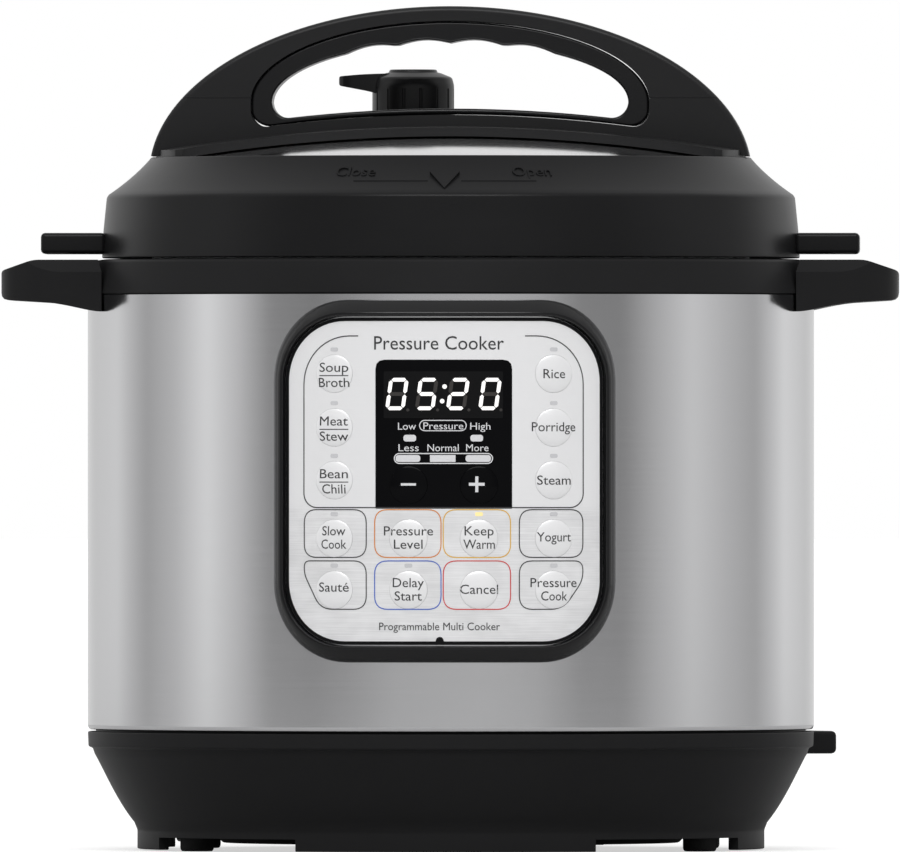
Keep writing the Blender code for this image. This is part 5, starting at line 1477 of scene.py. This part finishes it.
@dataclass
class ArchHandle:
    """The lid's handle: a bridge plate with two pillars, an arch over them and a grip insert."""

    lid: Lid
    half_thick: float = 15.0
    split: float = 250.4
    foot: float = 224.8
    hole_half: float = 59.3
    spring: float = 248.87
    hole_rise: float = 20.1
    hole_floor: float = 246.9
    sag: float = 0.00107
    top: float = field(default_factory=lambda: cad("handle_arch").high.z)

    def build(self) -> None:
        """Builds the arch, the bridge and the insert."""
        self.arch()
        self.bridge()
        self.insert()

    def outside(self) -> list[Point]:
        """Half an ellipse standing on the lid."""
        half, rise = self.lid.crown_radius + 0.5, self.top - self.foot
        angles = [math.radians(180.0 - 180.0 * i / 96) for i in range(97)]
        return [(half * math.cos(a), self.foot + rise * math.sin(a)) for a in angles]

    def hole(self, side: float, floor: float, rise: float, grooves: bool = False) -> list[Point]:
        """The finger hole's outline, grown by a side, a floor and a rise.

        Args:
            side: How far it stands outside the hole at the sides.
            floor: How far it lies under the hole's floor.
            rise: Height of its upper half over the spring line.
            grooves: Whether the finger grooves are in its top.

        Returns:
            The outline, anticlockwise from the lower left.
        """
        half, corner = self.hole_half + side, 5.5
        middle = half - corner
        base = self.hole_floor - floor
        points = [(x, base - self.sag * x * x) for x in (middle * (i / 8 - 1) for i in range(17))]
        centre = (middle, base - self.sag * middle * middle + corner)
        turn = arc(centre, corner, -78, -8, 8)
        points += turn
        for i in range(97):
            angle = math.radians(180.0 * i / 96)
            x, z = half * math.cos(angle), self.spring + rise * math.sin(angle)
            if grooves and abs(x) < 35.6:
                z += 1.3 * abs(math.sin(math.pi * x / 17.8)) - 0.2
            points.append((x, z))
        return points + [(-x, z) for x, z in reversed(turn)]

    def opening(self, grow: float = 0.3) -> Part:
        """The space for the insert."""
        outline = self.hole(6.8 + grow, 1.8 + grow, self.hole_rise + 6.8 + grow)
        return slab("insert_opening", outline, -25.0, 25.0, Along.Y)

    def arch(self) -> None:
        """The upper half of the handle."""
        arch = slab("arch_grip", self.outside(), -self.half_thick, self.half_thick, Along.Y)
        softened(arch, 2.6, 4, 60.0)
        cut(arch, block("below", (-130.0, -25.0, 200.0), (130.0, 25.0, self.split)), self.opening())
        softened(arch, 0.35, 2, 50.0)
        install(smooth(arch, 40.0), "lid", Kit.HANDLE, "handle_arch")

    def plate(self) -> Part:
        """The bridge plate that lies over the crown, with the valve deck behind its middle."""
        half = self.lid.crown_radius - 1.5

        def width(x: float) -> float:
            """Half width of the bridge at a place across it."""
            return 30.0 + 0.0012 * x * x

        def back(x: float) -> float:
            """Back edge, with the deck standing out of it."""
            run = max(0.0, min(1.0, (34.0 - abs(x)) / 12.0))
            return width(x) + (66.0 - width(x)) * run * run * (3 - 2 * run)

        places = [half * (i / 40 - 1) for i in range(81)]
        reach = [math.sqrt(max(0.0, half * half - x * x)) for x in places]
        front = [(x, -min(width(x), r)) for x, r in zip(places, reach)]
        rear = [(x, min(back(x), r)) for x, r in zip(places, reach)]
        outline = front[1:-1] + [(half, 0.0)] + rear[-2:0:-1] + [(-half, 0.0)]
        plate = slab("handle_bridge", outline, 215.0, 262.0)
        trim(plate, self.dome("plate_dome", 0.5, 3.5))
        return softened(plate, 0.7, 3, 50.0)

    def dome(self, name: str, under: float, over: float) -> Part:
        """A bowl-shaped shell that follows the crown.

        Args:
            name: Name of the new part.
            under: Its lower side, above the crown.
            over: Its upper side, above the crown.

        Returns:
            The shell.
        """
        radii = [i * 110.0 / 36 for i in range(37)]
        crown = [(r, self.lid.crown(r)) for r in radii]
        outline = [(r, z + over) for r, z in crown] + [(r, z + under) for r, z in reversed(crown)]
        return turned(name, outline, 160)

    def bridge(self) -> None:
        """The bridge plate joined to the pillars under the arch."""
        plate = self.plate()
        pillars = slab("pillars", self.outside(), -self.half_thick, self.half_thick, Along.Y)
        softened(pillars, 2.6, 4, 60.0)
        cut(pillars, block("above", (-130.0, -25.0, self.split - 0.05), (130.0, 25.0, 330.0)))
        rim = [(98.6, 190.0), (125.0, 190.0), (125.0, self.lid.cone_top + 0.3), (98.6, self.lid.cone_top + 0.3)]
        cut(pillars, self.dome("crown_space", -60.0, 1.7), turned("rim_space", rim, 144))
        join(plate, pillars)
        cut(plate, self.opening())
        for at, radius in ((Valves.valve_at, 4.7), (Valves.float_at, 4.5)):
            cut(plate, rod("hole", radius, 190.0, 262.0, 32, at))
        install(smooth(plate, 36.0), "lid", Kit.HANDLE, "handle_base")

    def insert(self) -> None:
        """The glossy insert that lines the finger hole, with four finger grooves over it."""
        outer, inner = self.hole(6.8, 1.8, self.hole_rise + 6.8), self.hole(0.0, 0.0, self.hole_rise, True)
        insert = hoop("grip_insert", outer, inner, 14.2)
        softened(insert, 0.9, 3, 60.0)
        install(smooth(insert, 40.0), "lid", Kit.INSERT, "handle_insert")


# ---------------------------------------------------------------- control panel
@dataclass(frozen=True)
class Key:
    """One button: its place on the panel, and its words with their heights and widths."""

    name: str
    along: float
    up: float
    words: tuple[tuple[str, float, float], ...] = ()
    rule: bool = False
    lamp: Kit | None = Kit.LAMP_CLEAR

    @property
    def body(self) -> str:
        """The CAD body that the button is."""
        return f"button_{self.name}"


OUTER, INNER = 36.72, 11.66
KEYS = (
    Key("soup", -OUTER, 35.42, (("Soup", 2.1, 10.0), ("Broth", -2.9, 10.5)), True),
    Key("meat", -OUTER, 17.71, (("Meat", 2.1, 9.7), ("Stew", -2.9, 9.9)), True),
    Key("bean", -OUTER, 0.32, (("Bean", 2.1, 9.7), ("Chili", -2.9, 8.1)), True),
    Key("rice", OUTER, 35.42, (("Rice", 0.0, 7.4),)),
    Key("porridge", OUTER, 17.71, (("Porridge", 0.2, 14.9),)),
    Key("steam", OUTER, 0.32, (("Steam", 0.0, 11.5),)),
    Key("slow_cook", -OUTER, -18.9, (("Slow", 2.5, 8.0), ("Cook", -1.9, 8.6))),
    Key("pressure_level", -INNER, -18.9, (("Pressure", 2.5, 16.3), ("Level", -1.9, 9.5)), lamp=None),
    Key("keep_warm", INNER, -18.9, (("Keep", 2.5, 9.6), ("Warm", -1.9, 10.4)), lamp=Kit.LAMP_AMBER),
    Key("yogurt", OUTER, -18.9, (("Yogurt", 0.5, 11.6),)),
    Key("saute", -OUTER, -35.86, (("Sauté", 0.9, 10.3),)),
    Key("delay_start", -INNER, -35.86, (("Delay", 2.4, 10.3), ("Start", -2.0, 9.0))),
    Key("cancel", INNER, -35.86, (("Cancel", 0.2, 12.6),), lamp=None),
    Key("pressure_cook", OUTER, -35.86, (("Pressure", 2.4, 15.8), ("Cook", -2.0, 8.9))),
    Key("minus", -INNER, -1.3, lamp=None),
    Key("plus", INNER, -1.3, lamp=None),
)


def stroke(points: Sequence[Point], width: float) -> list[Point]:
    """Outline of a line of even width along open points.

    Args:
        points: The line's own points.
        width: Its width.

    Returns:
        The outline, up one side and back down the other.
    """
    spots = [Vector(p) for p in points]
    sides: tuple[list[Point], list[Point]] = ([], [])
    for i, spot in enumerate(spots):
        before, after = spots[max(0, i - 1)], spots[min(len(spots) - 1, i + 1)]
        run = (after - before).normalized()
        out = Vector((-run.y, run.x)) * (width / 2)
        sides[0].append(tuple(spot + out))
        sides[1].append(tuple(spot - out))
    return sides[0] + sides[1][::-1]


class Printer:
    """Prints ink on the curved panel: flat shapes are bent round it, or pressed on over the buttons."""

    def __init__(self, face: float, middle: float, target: Part) -> None:
        """Takes the panel's radius, the height of its middle and the surface that takes the ink."""
        self.face = face
        self.middle = middle
        self.target = target
        self.button_edge = 6.1
        self.done: dict[tuple[str, Kit], list[Part]] = {}
        self.cap = self._cap_height()

    @staticmethod
    def _cap_height() -> float:
        """Height of a capital letter of size 1."""
        part = Printer.letters("H", 1.0)
        low, high = extent(part, 2)
        discard(part)
        return high - low

    @staticmethod
    def letters(text: str, size: float, weight: float = 0.0) -> Part:
        """Flat letters in front view, centred across, with their feet at height 0.

        Args:
            text: The text.
            size: Size of the type.
            weight: How much bolder it is drawn.

        Returns:
            The letters as a mesh.
        """
        bpy.ops.object.select_all(action="DESELECT")
        bpy.ops.object.text_add(rotation=(math.radians(90.0), 0.0, 0.0))
        writing = bpy.context.object
        writing.data.body = text
        writing.data.size = size * MM
        writing.data.align_x = "CENTER"
        writing.data.resolution_u = 3
        writing.data.offset = weight * MM
        bpy.ops.object.convert(target="MESH")
        return settle(named(bpy.context.object, "letters"))

    def word(self, text: str, width: float, cap: float, feet: float = 0.0, weight: float = 0.0) -> Part:
        """Letters of a given width and capital height.

        Args:
            text: The text.
            width: Width of the whole word.
            cap: Height of its capitals.
            feet: Height of its feet.
            weight: How much bolder it is drawn.

        Returns:
            The word, flat and centred.
        """
        part = self.letters(text, cap / self.cap, weight)
        low, high = extent(part, 0)
        stretch = width / (high - low)
        move = Matrix.Translation((-stretch * (low + high) / 2, 0.0, feet))
        return placed(part, move @ Matrix.Diagonal((stretch, 1.0, 1.0, 1.0)))

    @staticmethod
    def shape(outline: Sequence[Point], hollow: float = 0.0) -> Part:
        """A flat shape in front view, or only a line of some width along its edge.

        Args:
            outline: (x, z) points with an optional rounding.
            hollow: Width of the line, or 0 for the whole shape.

        Returns:
            The shape.
        """
        part = looped("shape", [Vector((a, 0.0, b)) for a, b in eased(outline, steps=7)])
        bpy.ops.mesh.edge_face_add()
        if hollow:
            bpy.ops.mesh.inset(thickness=hollow * MM, depth=0.0)
            bpy.ops.mesh.delete(type="FACE")
            bpy.ops.mesh.select_all(action="SELECT")
        mesh = bmesh.from_edit_mesh(part.data)
        mesh.normal_update()
        if sum(face.normal.y * face.calc_area() for face in mesh.faces) > 0.0:
            bpy.ops.mesh.flip_normals()
        bpy.ops.object.mode_set(mode="OBJECT")
        return part

    def keep(self, part: Part, body: str, ink: Kit) -> None:
        """Holds a finished bit of print until all of it is joined."""
        self.done.setdefault((body, ink), []).append(part)

    def wrap(self, part: Part, ink: Kit, along: float = 0.0, up: float = 0.0, lift: float = INK_LIFT) -> None:
        """Bends a flat shape round the plate and keeps it.

        Args:
            part: The shape.
            ink: Its finish.
            along: Its place round the panel.
            up: Its height from the panel's middle.
            lift: How far it starts from the plate.
        """
        placed(part, Matrix.Translation((along, -lift, up)))
        sliced(part, 0, 2.0)
        modified(part, "SOLIDIFY", thickness=0.05 * MM, offset=1.0)
        bowed(part, self.face)
        self.keep(placed(part, Matrix.Translation((0.0, -self.face, self.middle))), "base", ink)

    def press(self, part: Part, along: float, up: float, ink: Kit, body: str) -> None:
        """Presses a flat shape on over a button and keeps it; what passes the button's edge stays on the plate.

        Args:
            part: The shape, centred on the button.
            along: The button's place round the panel.
            up: The button's height from the panel's middle.
            ink: The finish.
            body: The button's body.
        """
        reach = max(abs(z) for z in extent(part, 2))
        edge = math.sqrt(self.button_edge**2 - reach**2)
        pieces = [(part, body)]
        if extent(part, 0)[1] > edge:
            left, right = copied(part, "left_end"), copied(part, "right_end")
            kept_side(left, 0, -edge, False)
            kept_side(right, 0, edge, True)
            kept_side(kept_side(part, 0, edge, False), 0, -edge, True)
            pieces += [(left, "base"), (right, "base")]
        turn = Matrix.Rotation(along / self.face, 4, "Z")
        where = turn @ Matrix.Translation(Vector((0.0, -self.face - 4.0, self.middle + up)) * MM)
        for piece, rides in pieces:
            sliced(sliced(piece, 0, 1.3), 2, 1.3)
            piece.matrix_world = where
            bpy.context.view_layer.update()
            modified(
                piece,
                "SHRINKWRAP",
                wrap_method="PROJECT",
                use_project_y=True,
                use_positive_direction=True,
                target=self.target,
                wrap_mode="ABOVE_SURFACE",
                offset=0.015 * MM,
            )
            modified(piece, "SOLIDIFY", thickness=0.04 * MM, offset=1.0)
            self.keep(settle(piece), rides, ink)

    def finish(self) -> None:
        """Joins the print of each ink on each body, and installs it."""
        for (body, ink), parts in self.done.items():
            lone(parts[0])
            for part in parts:
                part.select_set(True)
            if len(parts) > 1:
                bpy.ops.object.join()
            sheet = named(bpy.context.object, f"print_{ink.value.name}_{body}")
            install(sheet, body, ink)


@dataclass
class Panel:
    """The curved control panel: bezel, plate, display window, buttons and print."""

    face: float = 124.3
    thick: float = 2.4
    half: float = 54.0
    corner: float = 21.06
    bezel: float = 5.8
    seat: float = 121.3
    window_half: float = 22.57
    window_low: float = -8.96
    window_high: float = 39.96
    button_radius: float = 6.26
    dome: float = 0.9
    frame_line: float = 0.34
    middle: float = field(default_factory=lambda: cad("panel_plate").middle.z)

    def build(self) -> None:
        """Builds the panel's pieces, then prints on them."""
        self.surround()
        dome = self.button()
        target = self.bent(named(self.blank(), "print_ground"))
        holes = [self.hole(key) for key in KEYS]
        plate, window = self.blank(), self.glass(0.0)
        cut(plate, self.glass(0.12), slab("notch", arc((-1.3, -53.6), 1.65, 0, 360, 24)[:-1], -1.0, 4.0, Along.Y))
        for key, hole in zip(KEYS, holes):
            cut(window if key.name in ("minus", "plus") else plate, hole)
        install(smooth(self.bent(softened(plate, 0.18, 2, 50.0))), "base", Kit.PLATE, "panel_plate")
        install(smooth(self.bent(softened(window, 0.12, 2, 50.0))), "base", Kit.WINDOW, "display_window")
        for key in KEYS:
            twin = placed(copied(dome, f"key_{key.name}"), self.seat_of(key))
            target = self.merged(target, copied(twin, "cap"))
            finish = Kit.WINDOW if key.name in ("minus", "plus") else Kit.DOME
            install(smooth(twin), key.body, finish, key.body)
        discard(dome)
        self.printed(target)
        discard(target)

    @staticmethod
    def merged(first: Part, second: Part) -> Part:
        """Two parts as one mesh."""
        lone(first)
        second.select_set(True)
        bpy.ops.object.join()
        return bpy.context.object

    def seat_of(self, key: Key) -> Matrix:
        """Where a button stands, with its own Z pointing out of the panel."""
        turn = Matrix.Rotation(key.along / self.face, 4, "Z")
        shift = Matrix.Translation((0.0, -self.face, self.middle + key.up))
        return turn @ shift @ Matrix.Rotation(math.radians(90.0), 4, "X")

    def bent(self, part: Part) -> Part:
        """Bends a flat part round the body.

        Args:
            part: A part drawn flat, with Y the depth behind the panel's face and Z the height from
                the panel's middle.

        Returns:
            The same part in its place.
        """
        bowed(sliced(part, 0, 2.5), self.face)
        return placed(part, Matrix.Translation((0.0, -self.face, self.middle)))

    def surround(self) -> None:
        """The bezel: a frame drawn as a face, then inset and raised ring by ring, and opened."""
        half, depth = self.half + self.bezel, self.face - self.seat
        outline = rounded_square(half, -half, half, self.corner + self.bezel, 16)
        part = looped("panel_surround", [Vector((a, depth, b)) for a, b in outline])
        bpy.ops.mesh.edge_face_add()
        step = 0.7
        push_out(Vector((0.0, -step, 0.0)))
        bpy.ops.mesh.select_mode(type="FACE")
        self.select_flat(part, (depth - step) * MM)
        rings = ((0.35, 0.6), (1.2, 1.3), (1.5, 1.35), (1.0, 0.75), (0.5, 0.15), (0.5, -0.1), (0.35, -0.45))
        for inset, rise in rings:
            bpy.ops.mesh.inset(thickness=inset * MM, depth=rise * MM)
        bpy.ops.mesh.inset(thickness=0.05 * MM, depth=-(step + sum(rise for _, rise in rings)) * MM)
        bpy.ops.mesh.delete(type="FACE")
        self.select_flat(part, depth * MM)
        bpy.ops.mesh.delete(type="FACE")
        bpy.ops.mesh.select_mode(type="EDGE")
        bpy.ops.mesh.select_all(action="DESELECT")
        bpy.ops.mesh.select_non_manifold()
        bpy.ops.mesh.bridge_edge_loops()
        face_out()
        bpy.ops.object.mode_set(mode="OBJECT")
        install(smooth(self.bent(part), 40.0), "base", Kit.BEZEL, "panel_bezel")

    @staticmethod
    def select_flat(part: Part, depth: float) -> None:
        """Selects the broad face that lies at a depth, in edit mode."""
        mesh = bmesh.from_edit_mesh(part.data)
        for face in mesh.faces:
            face.select_set(abs(face.calc_center_median().y - depth) < 1e-5 and abs(face.normal.y) > 0.99)
        bmesh.update_edit_mesh(part.data)

    def blank(self) -> Part:
        """The plate before anything is cut in it, flat."""
        outline = rounded_square(self.half, -self.half, self.half, self.corner, 16)
        return slab("control_plate", outline, 0.0, self.thick, Along.Y)

    def glass(self, grow: float) -> Part:
        """The display window, flat, grown by a clearance."""
        half, low, high = self.window_half + grow, self.window_low - grow, self.window_high + grow
        outline = [(-half, low, 0.3), (half, low, 0.3), (half, high, 3.0 + grow), (-half, high, 3.0 + grow)]
        deep = self.thick + (2.0 if grow else 0.0)
        return slab("display_glass", outline, -2.0 if grow else 0.0, deep, Along.Y)

    def hole(self, key: Key) -> Part:
        """The space round a button, flat."""
        outline = arc((key.along, key.up), self.button_radius + 0.05, 0, 360, 56)[:-1]
        return slab("key_hole", outline, -2.0, 5.0, Along.Y)

    def button(self) -> Part:
        """One domed button, standing on the origin."""
        edge = self.button_radius - 0.02
        radii = [edge * math.cos(math.radians(90.0 * i / 16)) for i in range(16)]
        cap = [(r, self.dome * (1.0 - (r / edge) ** 2) ** 0.8) for r in radii]
        outline = [(0.0, -1.5), (self.button_radius, -1.5), (self.button_radius, -0.05), *cap, (0.0, self.dome)]
        return turned("key", outline, 56)

    def printed(self, target: Part) -> None:
        """Prints the plate, the buttons and the display."""
        press = Printer(self.face, self.middle, target)
        self.key_print(press)
        self.frames(press)
        self.titles(press)
        self.display(press)
        press.finish()

    def key_print(self, press: Printer) -> None:
        """Words, rules and lamps of the buttons."""
        for key in KEYS:
            for text, rise, width in key.words:
                word = press.word(text, width, 3.0, rise - 1.45)
                press.press(word, key.along, key.up, Kit.INK_BLACK, key.body)
            if key.rule:
                rule = press.shape(box(-5.0, 5.0, -0.76, -0.46))
                press.press(rule, key.along, key.up, Kit.INK_BLACK, key.body)
            if key.lamp:
                press.wrap(press.shape(box(-1.3, 1.3, 7.4, 8.7, 0.6)), key.lamp, key.along, key.up)
        cross = [(-2.6, -0.5), (-0.5, -0.5), (-0.5, -2.6), (0.5, -2.6), (0.5, -0.5), (2.6, -0.5)]
        cross = [(x - 0.8, z + 0.3) for x, z in cross + [(-x, -z) for x, z in cross]]
        press.press(press.shape(cross), INNER, -1.3, Kit.INK_WHITE, "button_plus")
        bar = box(-2.4, 2.6, -0.15, 0.65)
        press.press(press.shape(bar), -INNER, -1.3, Kit.INK_WHITE, "button_minus")

    def frames(self, press: Printer) -> None:
        """The line round the upper half, a dark ring of painted shade round the plate's edge, and a frame round each
        lower button.
        """
        left, right, low, high = -47.4, 46.95, -8.7, 47.9
        line = [(-28.5, high), (left + 16.0, high)]
        line += arc((left + 16.0, high - 16.0), 16.0, 90, 180, 14) + arc((left + 4.6, low + 4.6), 4.6, 180, 270, 8)
        line += arc((right - 4.6, low + 4.6), 4.6, 270, 360, 8) + arc((right - 16.0, high - 16.0), 16.0, 0, 90, 14)
        line += [(27.0, high)]
        press.wrap(press.shape(stroke(line, 0.36)), Kit.INK_BLACK)
        # A dark ring round the plate's edge: painted shade of the gap between the bezel and the plate.
        edge = self.half - 0.05
        press.wrap(press.shape(rounded_square(edge, -edge, edge, 21.0, 16), 1.15), Kit.SMOKE)
        top, middle, corner = (-9.2, -25.3), (-26.1, -42.4), 4.6
        frames = (
            (-47.45, -25.6, top, Kit.INK_BLACK),
            (-23.1, -0.7, top, Kit.INK_ORANGE),
            (-0.3, 22.3, top, Kit.INK_YELLOW),
            (24.9, 47.0, top, Kit.INK_BLACK),
            (-23.1, -0.7, middle, Kit.INK_BLUE),
            (-0.3, 22.3, middle, Kit.INK_RED),
        )
        for start, end, (upper, lower), ink in frames:
            press.wrap(press.shape(box(start, end, lower, upper, corner), self.frame_line), ink)
        upper, lower = middle
        cut_left = [
            (-41.6, lower, 4.2), (-25.6, lower, corner), (-25.6, upper, corner), (-47.45, upper, 3.4),
            (-47.45, upper - 4.6, 3.0),
        ]
        cut_right = [
            (24.9, lower, corner), (40.0, lower, 4.2), (47.0, upper - 6.6, 3.0), (47.0, upper, 3.4),
            (24.9, upper, corner),
        ]
        for cut_corner in (cut_left, cut_right):
            press.wrap(press.shape(cut_corner, self.frame_line), Kit.INK_BLACK)

    def titles(self, press: Printer) -> None:
        """Plain words at the top and the bottom of the plate."""
        press.wrap(press.word("Pressure Cooker", 43.0, 4.4, 43.4), Kit.INK_BLACK, -1.6)
        press.wrap(press.word("Programmable Multi Cooker", 40.0, 2.5, -49.1), Kit.INK_BLACK, -1.4)

    def display(self, press: Printer) -> None:
        """The clock's digits, the pressure scale and their words, and the dark notch under them."""
        press.wrap(self.dot(press, -1.3, -52.6, 1.3), Kit.SMOKE, lift=0.05)
        press.wrap(press.shape(box(-19.9, 19.6, 20.8, 36.2, 0.4)), Kit.SMOKE)
        for place, lit in ((-15.45, "abcdef"), (-5.6, "afgcd"), (4.7, "abged"), (15.3, "abcdef")):
            for name, outline in self.segments(place).items():
                ink = Kit.DIGIT if name in lit else Kit.DIGIT_OFF
                press.wrap(press.shape(outline), ink, lift=DIGIT_LIFT)
            press.wrap(self.dot(press, place + 3.6, 23.5, 0.5, 16), Kit.DIGIT_OFF, lift=DIGIT_LIFT)
        for x, z in ((0.3, 31.2), (-0.5, 26.4)):
            press.wrap(self.dot(press, x, z, 0.75), Kit.DIGIT, lift=DIGIT_LIFT)
        words = (
            ("Low", -12.1, 6.0, 17.0), ("Pressure", -0.1, 13.2, 17.1), ("High", 12.1, 6.7, 17.0),
            ("Less", -11.6, 6.7, 9.9), ("Normal", -0.2, 10.3, 9.9), ("More", 11.1, 7.4, 9.9),
        )
        for text, along, width, feet in words:
            press.wrap(press.word(text, width, 2.3, feet), Kit.INK_WHITE, along)
        for start, end, low, high, line in ((-8.1, 7.6, 16.5, 20.2, 0.3), (-16.5, 16.3, 5.7, 9.3, 0.35)):
            r = (high - low) / 2
            oval = arc((start + r, low + r), r, 90, 270, 12) + arc((end - r, low + r), r, -90, 90, 12)
            press.wrap(press.shape(oval, line), Kit.INK_WHITE)
        for start, end, low, high, r in (
            (-13.3, -9.1, 13.1, 15.3, 1.0), (8.8, 13.0, 13.1, 15.3, 1.0),
            (-15.9, -7.7, 6.35, 8.65, 1.1), (-4.5, 3.9, 6.35, 8.65, 0.1), (7.2, 15.6, 6.35, 8.65, 1.1),
        ):
            press.wrap(press.shape(box(start, end, low, high, r)), Kit.INK_WHITE)

    @staticmethod
    def dot(press: Printer, along: float, up: float, radius: float, steps: int = 24) -> Part:
        """A flat round dot at a place on the panel."""
        return press.shape(arc((along, up), radius, 0, 360, steps)[:-1])

    @staticmethod
    def segments(place: float) -> dict[str, list[Point]]:
        """Outlines of a digit's seven segments.

        Args:
            place: The digit's middle, round the panel.

        Returns:
            Segments a to g by name.
        """
        half, mid, rise, wide, gap = 2.6, 28.75, 4.7, 0.62, 0.16
        flat = {"a": mid + rise, "g": mid, "d": mid - rise}
        over, under = (mid, mid + rise), (mid - rise, mid)
        upright = {"f": (-half, *over), "b": (half, *over), "e": (-half, *under), "c": (half, *under)}
        made: dict[str, list[Point]] = {}
        for name, z in flat.items():
            made[name] = [
                (-half + gap, z), (-half + gap + wide, z - wide), (half - gap - wide, z - wide), (half - gap, z),
                (half - gap - wide, z + wide), (-half + gap + wide, z + wide),
            ]
        for name, (x, low, high) in upright.items():
            made[name] = [
                (x, low + gap), (x + wide, low + gap + wide), (x + wide, high - gap - wide), (x, high - gap),
                (x - wide, high - gap - wide), (x - wide, low + gap + wide),
            ]
        slant = math.tan(math.radians(8.0))
        return {n: [(place + x + slant * (z - mid), z) for x, z in o] for n, o in made.items()}


# ---------------------------------------------------------------- studio
@dataclass(frozen=True)
class Studio:
    """Pale floor, soft light from all round and the camera."""

    distance: float = 11.0
    azimuth: float = 1.1
    elevation: float = 0.0
    aim: Point = (-0.0003, 0.0, 0.1412)
    lens: float = 1320.0
    front: float = 48.0
    wall_radius: float = 2.6
    wall_height: float = 2.4
    ring: tuple[tuple[float, float], ...] = (
        (-180, 0.76), (-152, 0.74), (-129, 0.92), (-110, 0.52), (-95, 0.72), (-81, 1.10), (-69, 0.78), (-57, 0.36),
        (-42, 0.29), (-30, 0.38), (-16, 0.54), (12, 0.60), (28, 0.54), (42, 0.33), (56, 0.31), (68, 0.62), (82, 0.90),
        (97, 0.70), (112, 0.54), (131, 1.0), (152, 0.74), (180, 0.76),
    )

    def build(self) -> None:
        """Sets up the world, the floor and the camera."""
        self.world()
        self.wall()
        self.lamp()
        self.floor()
        self.camera()

    def world(self) -> None:
        """An even pale surround, which the camera sees as white."""
        world = bpy.data.worlds.new("studio")
        bpy.context.scene.world = world
        sheet = Sheet(world)
        colour = sheet.blend(self.seen(sheet), (0.8, 0.8, 0.8), (1.0, 1.0, 1.0))
        sheet.feed(sheet.tree.nodes["Background"].inputs["Color"], colour)

    @staticmethod
    def seen(sheet: Sheet) -> Wire:
        """1 where the camera looks straight at the surface."""
        return sheet.node("ShaderNodeLightPath", output="Is Camera Ray")

    def wall(self) -> None:
        """A round light wall on the floor, with soft boxes and dark gaps round the object."""
        bpy.ops.object.select_all(action="DESELECT")
        size = {"radius": self.wall_radius, "depth": self.wall_height}
        middle = (0.0, 0.0, self.wall_height / 2)
        bpy.ops.mesh.primitive_cylinder_add(vertices=128, end_fill_type="NOTHING", location=middle, **size)
        wall = settle(named(bpy.context.object, "light_wall"))
        wall.visible_camera = False
        sheet = Sheet(bpy.data.materials.new("light_wall"))
        turn = sheet.node("ShaderNodeMath", {"operation": "ARCTAN2"}, {0: sheet.axis(0), 1: 0.0 - sheet.axis(1)})
        stops = [(angle / 360.0 + 0.5, grey) for angle, grey in self.ring]
        band = sheet.node("ShaderNodeValToRGB", {"stops": stops}, {"Fac": turn * (1.0 / math.tau) + 0.5})
        black = {"Base Color": (0.0, 0.0, 0.0, 1.0), "Roughness": 1.0, "Specular IOR Level": 0.0}
        sheet.shade({**black, "Emission Color": band, "Emission Strength": 1.0})
        wall.data.materials.append(sheet.owner)

    def lamp(self) -> None:
        """A broad soft box high over the camera, for the faces that look at it."""
        data = bpy.data.lights.new("front_box", "AREA")
        data.shape, data.size, data.size_y, data.energy = "RECTANGLE", 2.4, 0.9, self.front
        lamp = bpy.data.objects.new("front_box", data)
        bpy.context.scene.collection.objects.link(lamp)
        lamp.location = (0.0, -2.2, 2.3)
        lamp.rotation_mode = "QUATERNION"
        lamp.rotation_quaternion = (Vector(self.aim) - lamp.location).to_track_quat("-Z", "Y")
        lamp.visible_camera = False

    def floor(self) -> None:
        """A wide pale floor, which meets the white backdrop without a line."""
        bpy.ops.object.select_all(action="DESELECT")
        bpy.ops.mesh.primitive_circle_add(vertices=96, radius=30.0, fill_type="NGON", location=(0.0, 0.0, 0.0))
        floor = named(bpy.context.object, "studio_floor")
        sheet = Sheet(bpy.data.materials.new("studio_floor"))
        glow = sheet.blend(self.seen(sheet), (0.06, 0.06, 0.06), (1.0, 1.0, 1.0))
        pale = {"Base Color": (0.55, 0.55, 0.55, 1.0), "Roughness": 0.95}
        sheet.shade({**pale, "Emission Color": glow, "Emission Strength": 0.6})
        floor.data.materials.append(sheet.owner)

    def camera(self) -> None:
        """A long lens level with the panel, a touch to the right of it."""
        lens = bpy.data.cameras.new("camera")
        lens.lens, lens.sensor_width = self.lens, 36.0
        lens.clip_start, lens.clip_end = 0.1, 100.0
        camera = bpy.data.objects.new("camera", lens)
        bpy.context.scene.collection.objects.link(camera)
        a, e = math.radians(self.azimuth), math.radians(self.elevation)
        back = Vector((math.sin(a) * math.cos(e), -math.cos(a) * math.cos(e), math.sin(e)))
        camera.location = Vector(self.aim) + back * self.distance
        camera.rotation_mode = "QUATERNION"
        camera.rotation_quaternion = (-back).to_track_quat("-Z", "Y")
        bpy.context.scene.camera = camera
        bpy.context.scene.view_settings.view_transform = "Standard"


def main() -> None:
    """Builds the cooker from the bottom up, then the studio round it."""
    logging.basicConfig(level=logging.INFO, format="%(name)s: %(message)s")
    lid = Lid()
    for assembly in (Base(), Body(), Hearth(), lid, Valves(), ArchHandle(lid), Panel(), Studio()):
        LOG.info("building %s", type(assembly).__name__)
        assembly.build()


if __name__ == "__main__":
    main()
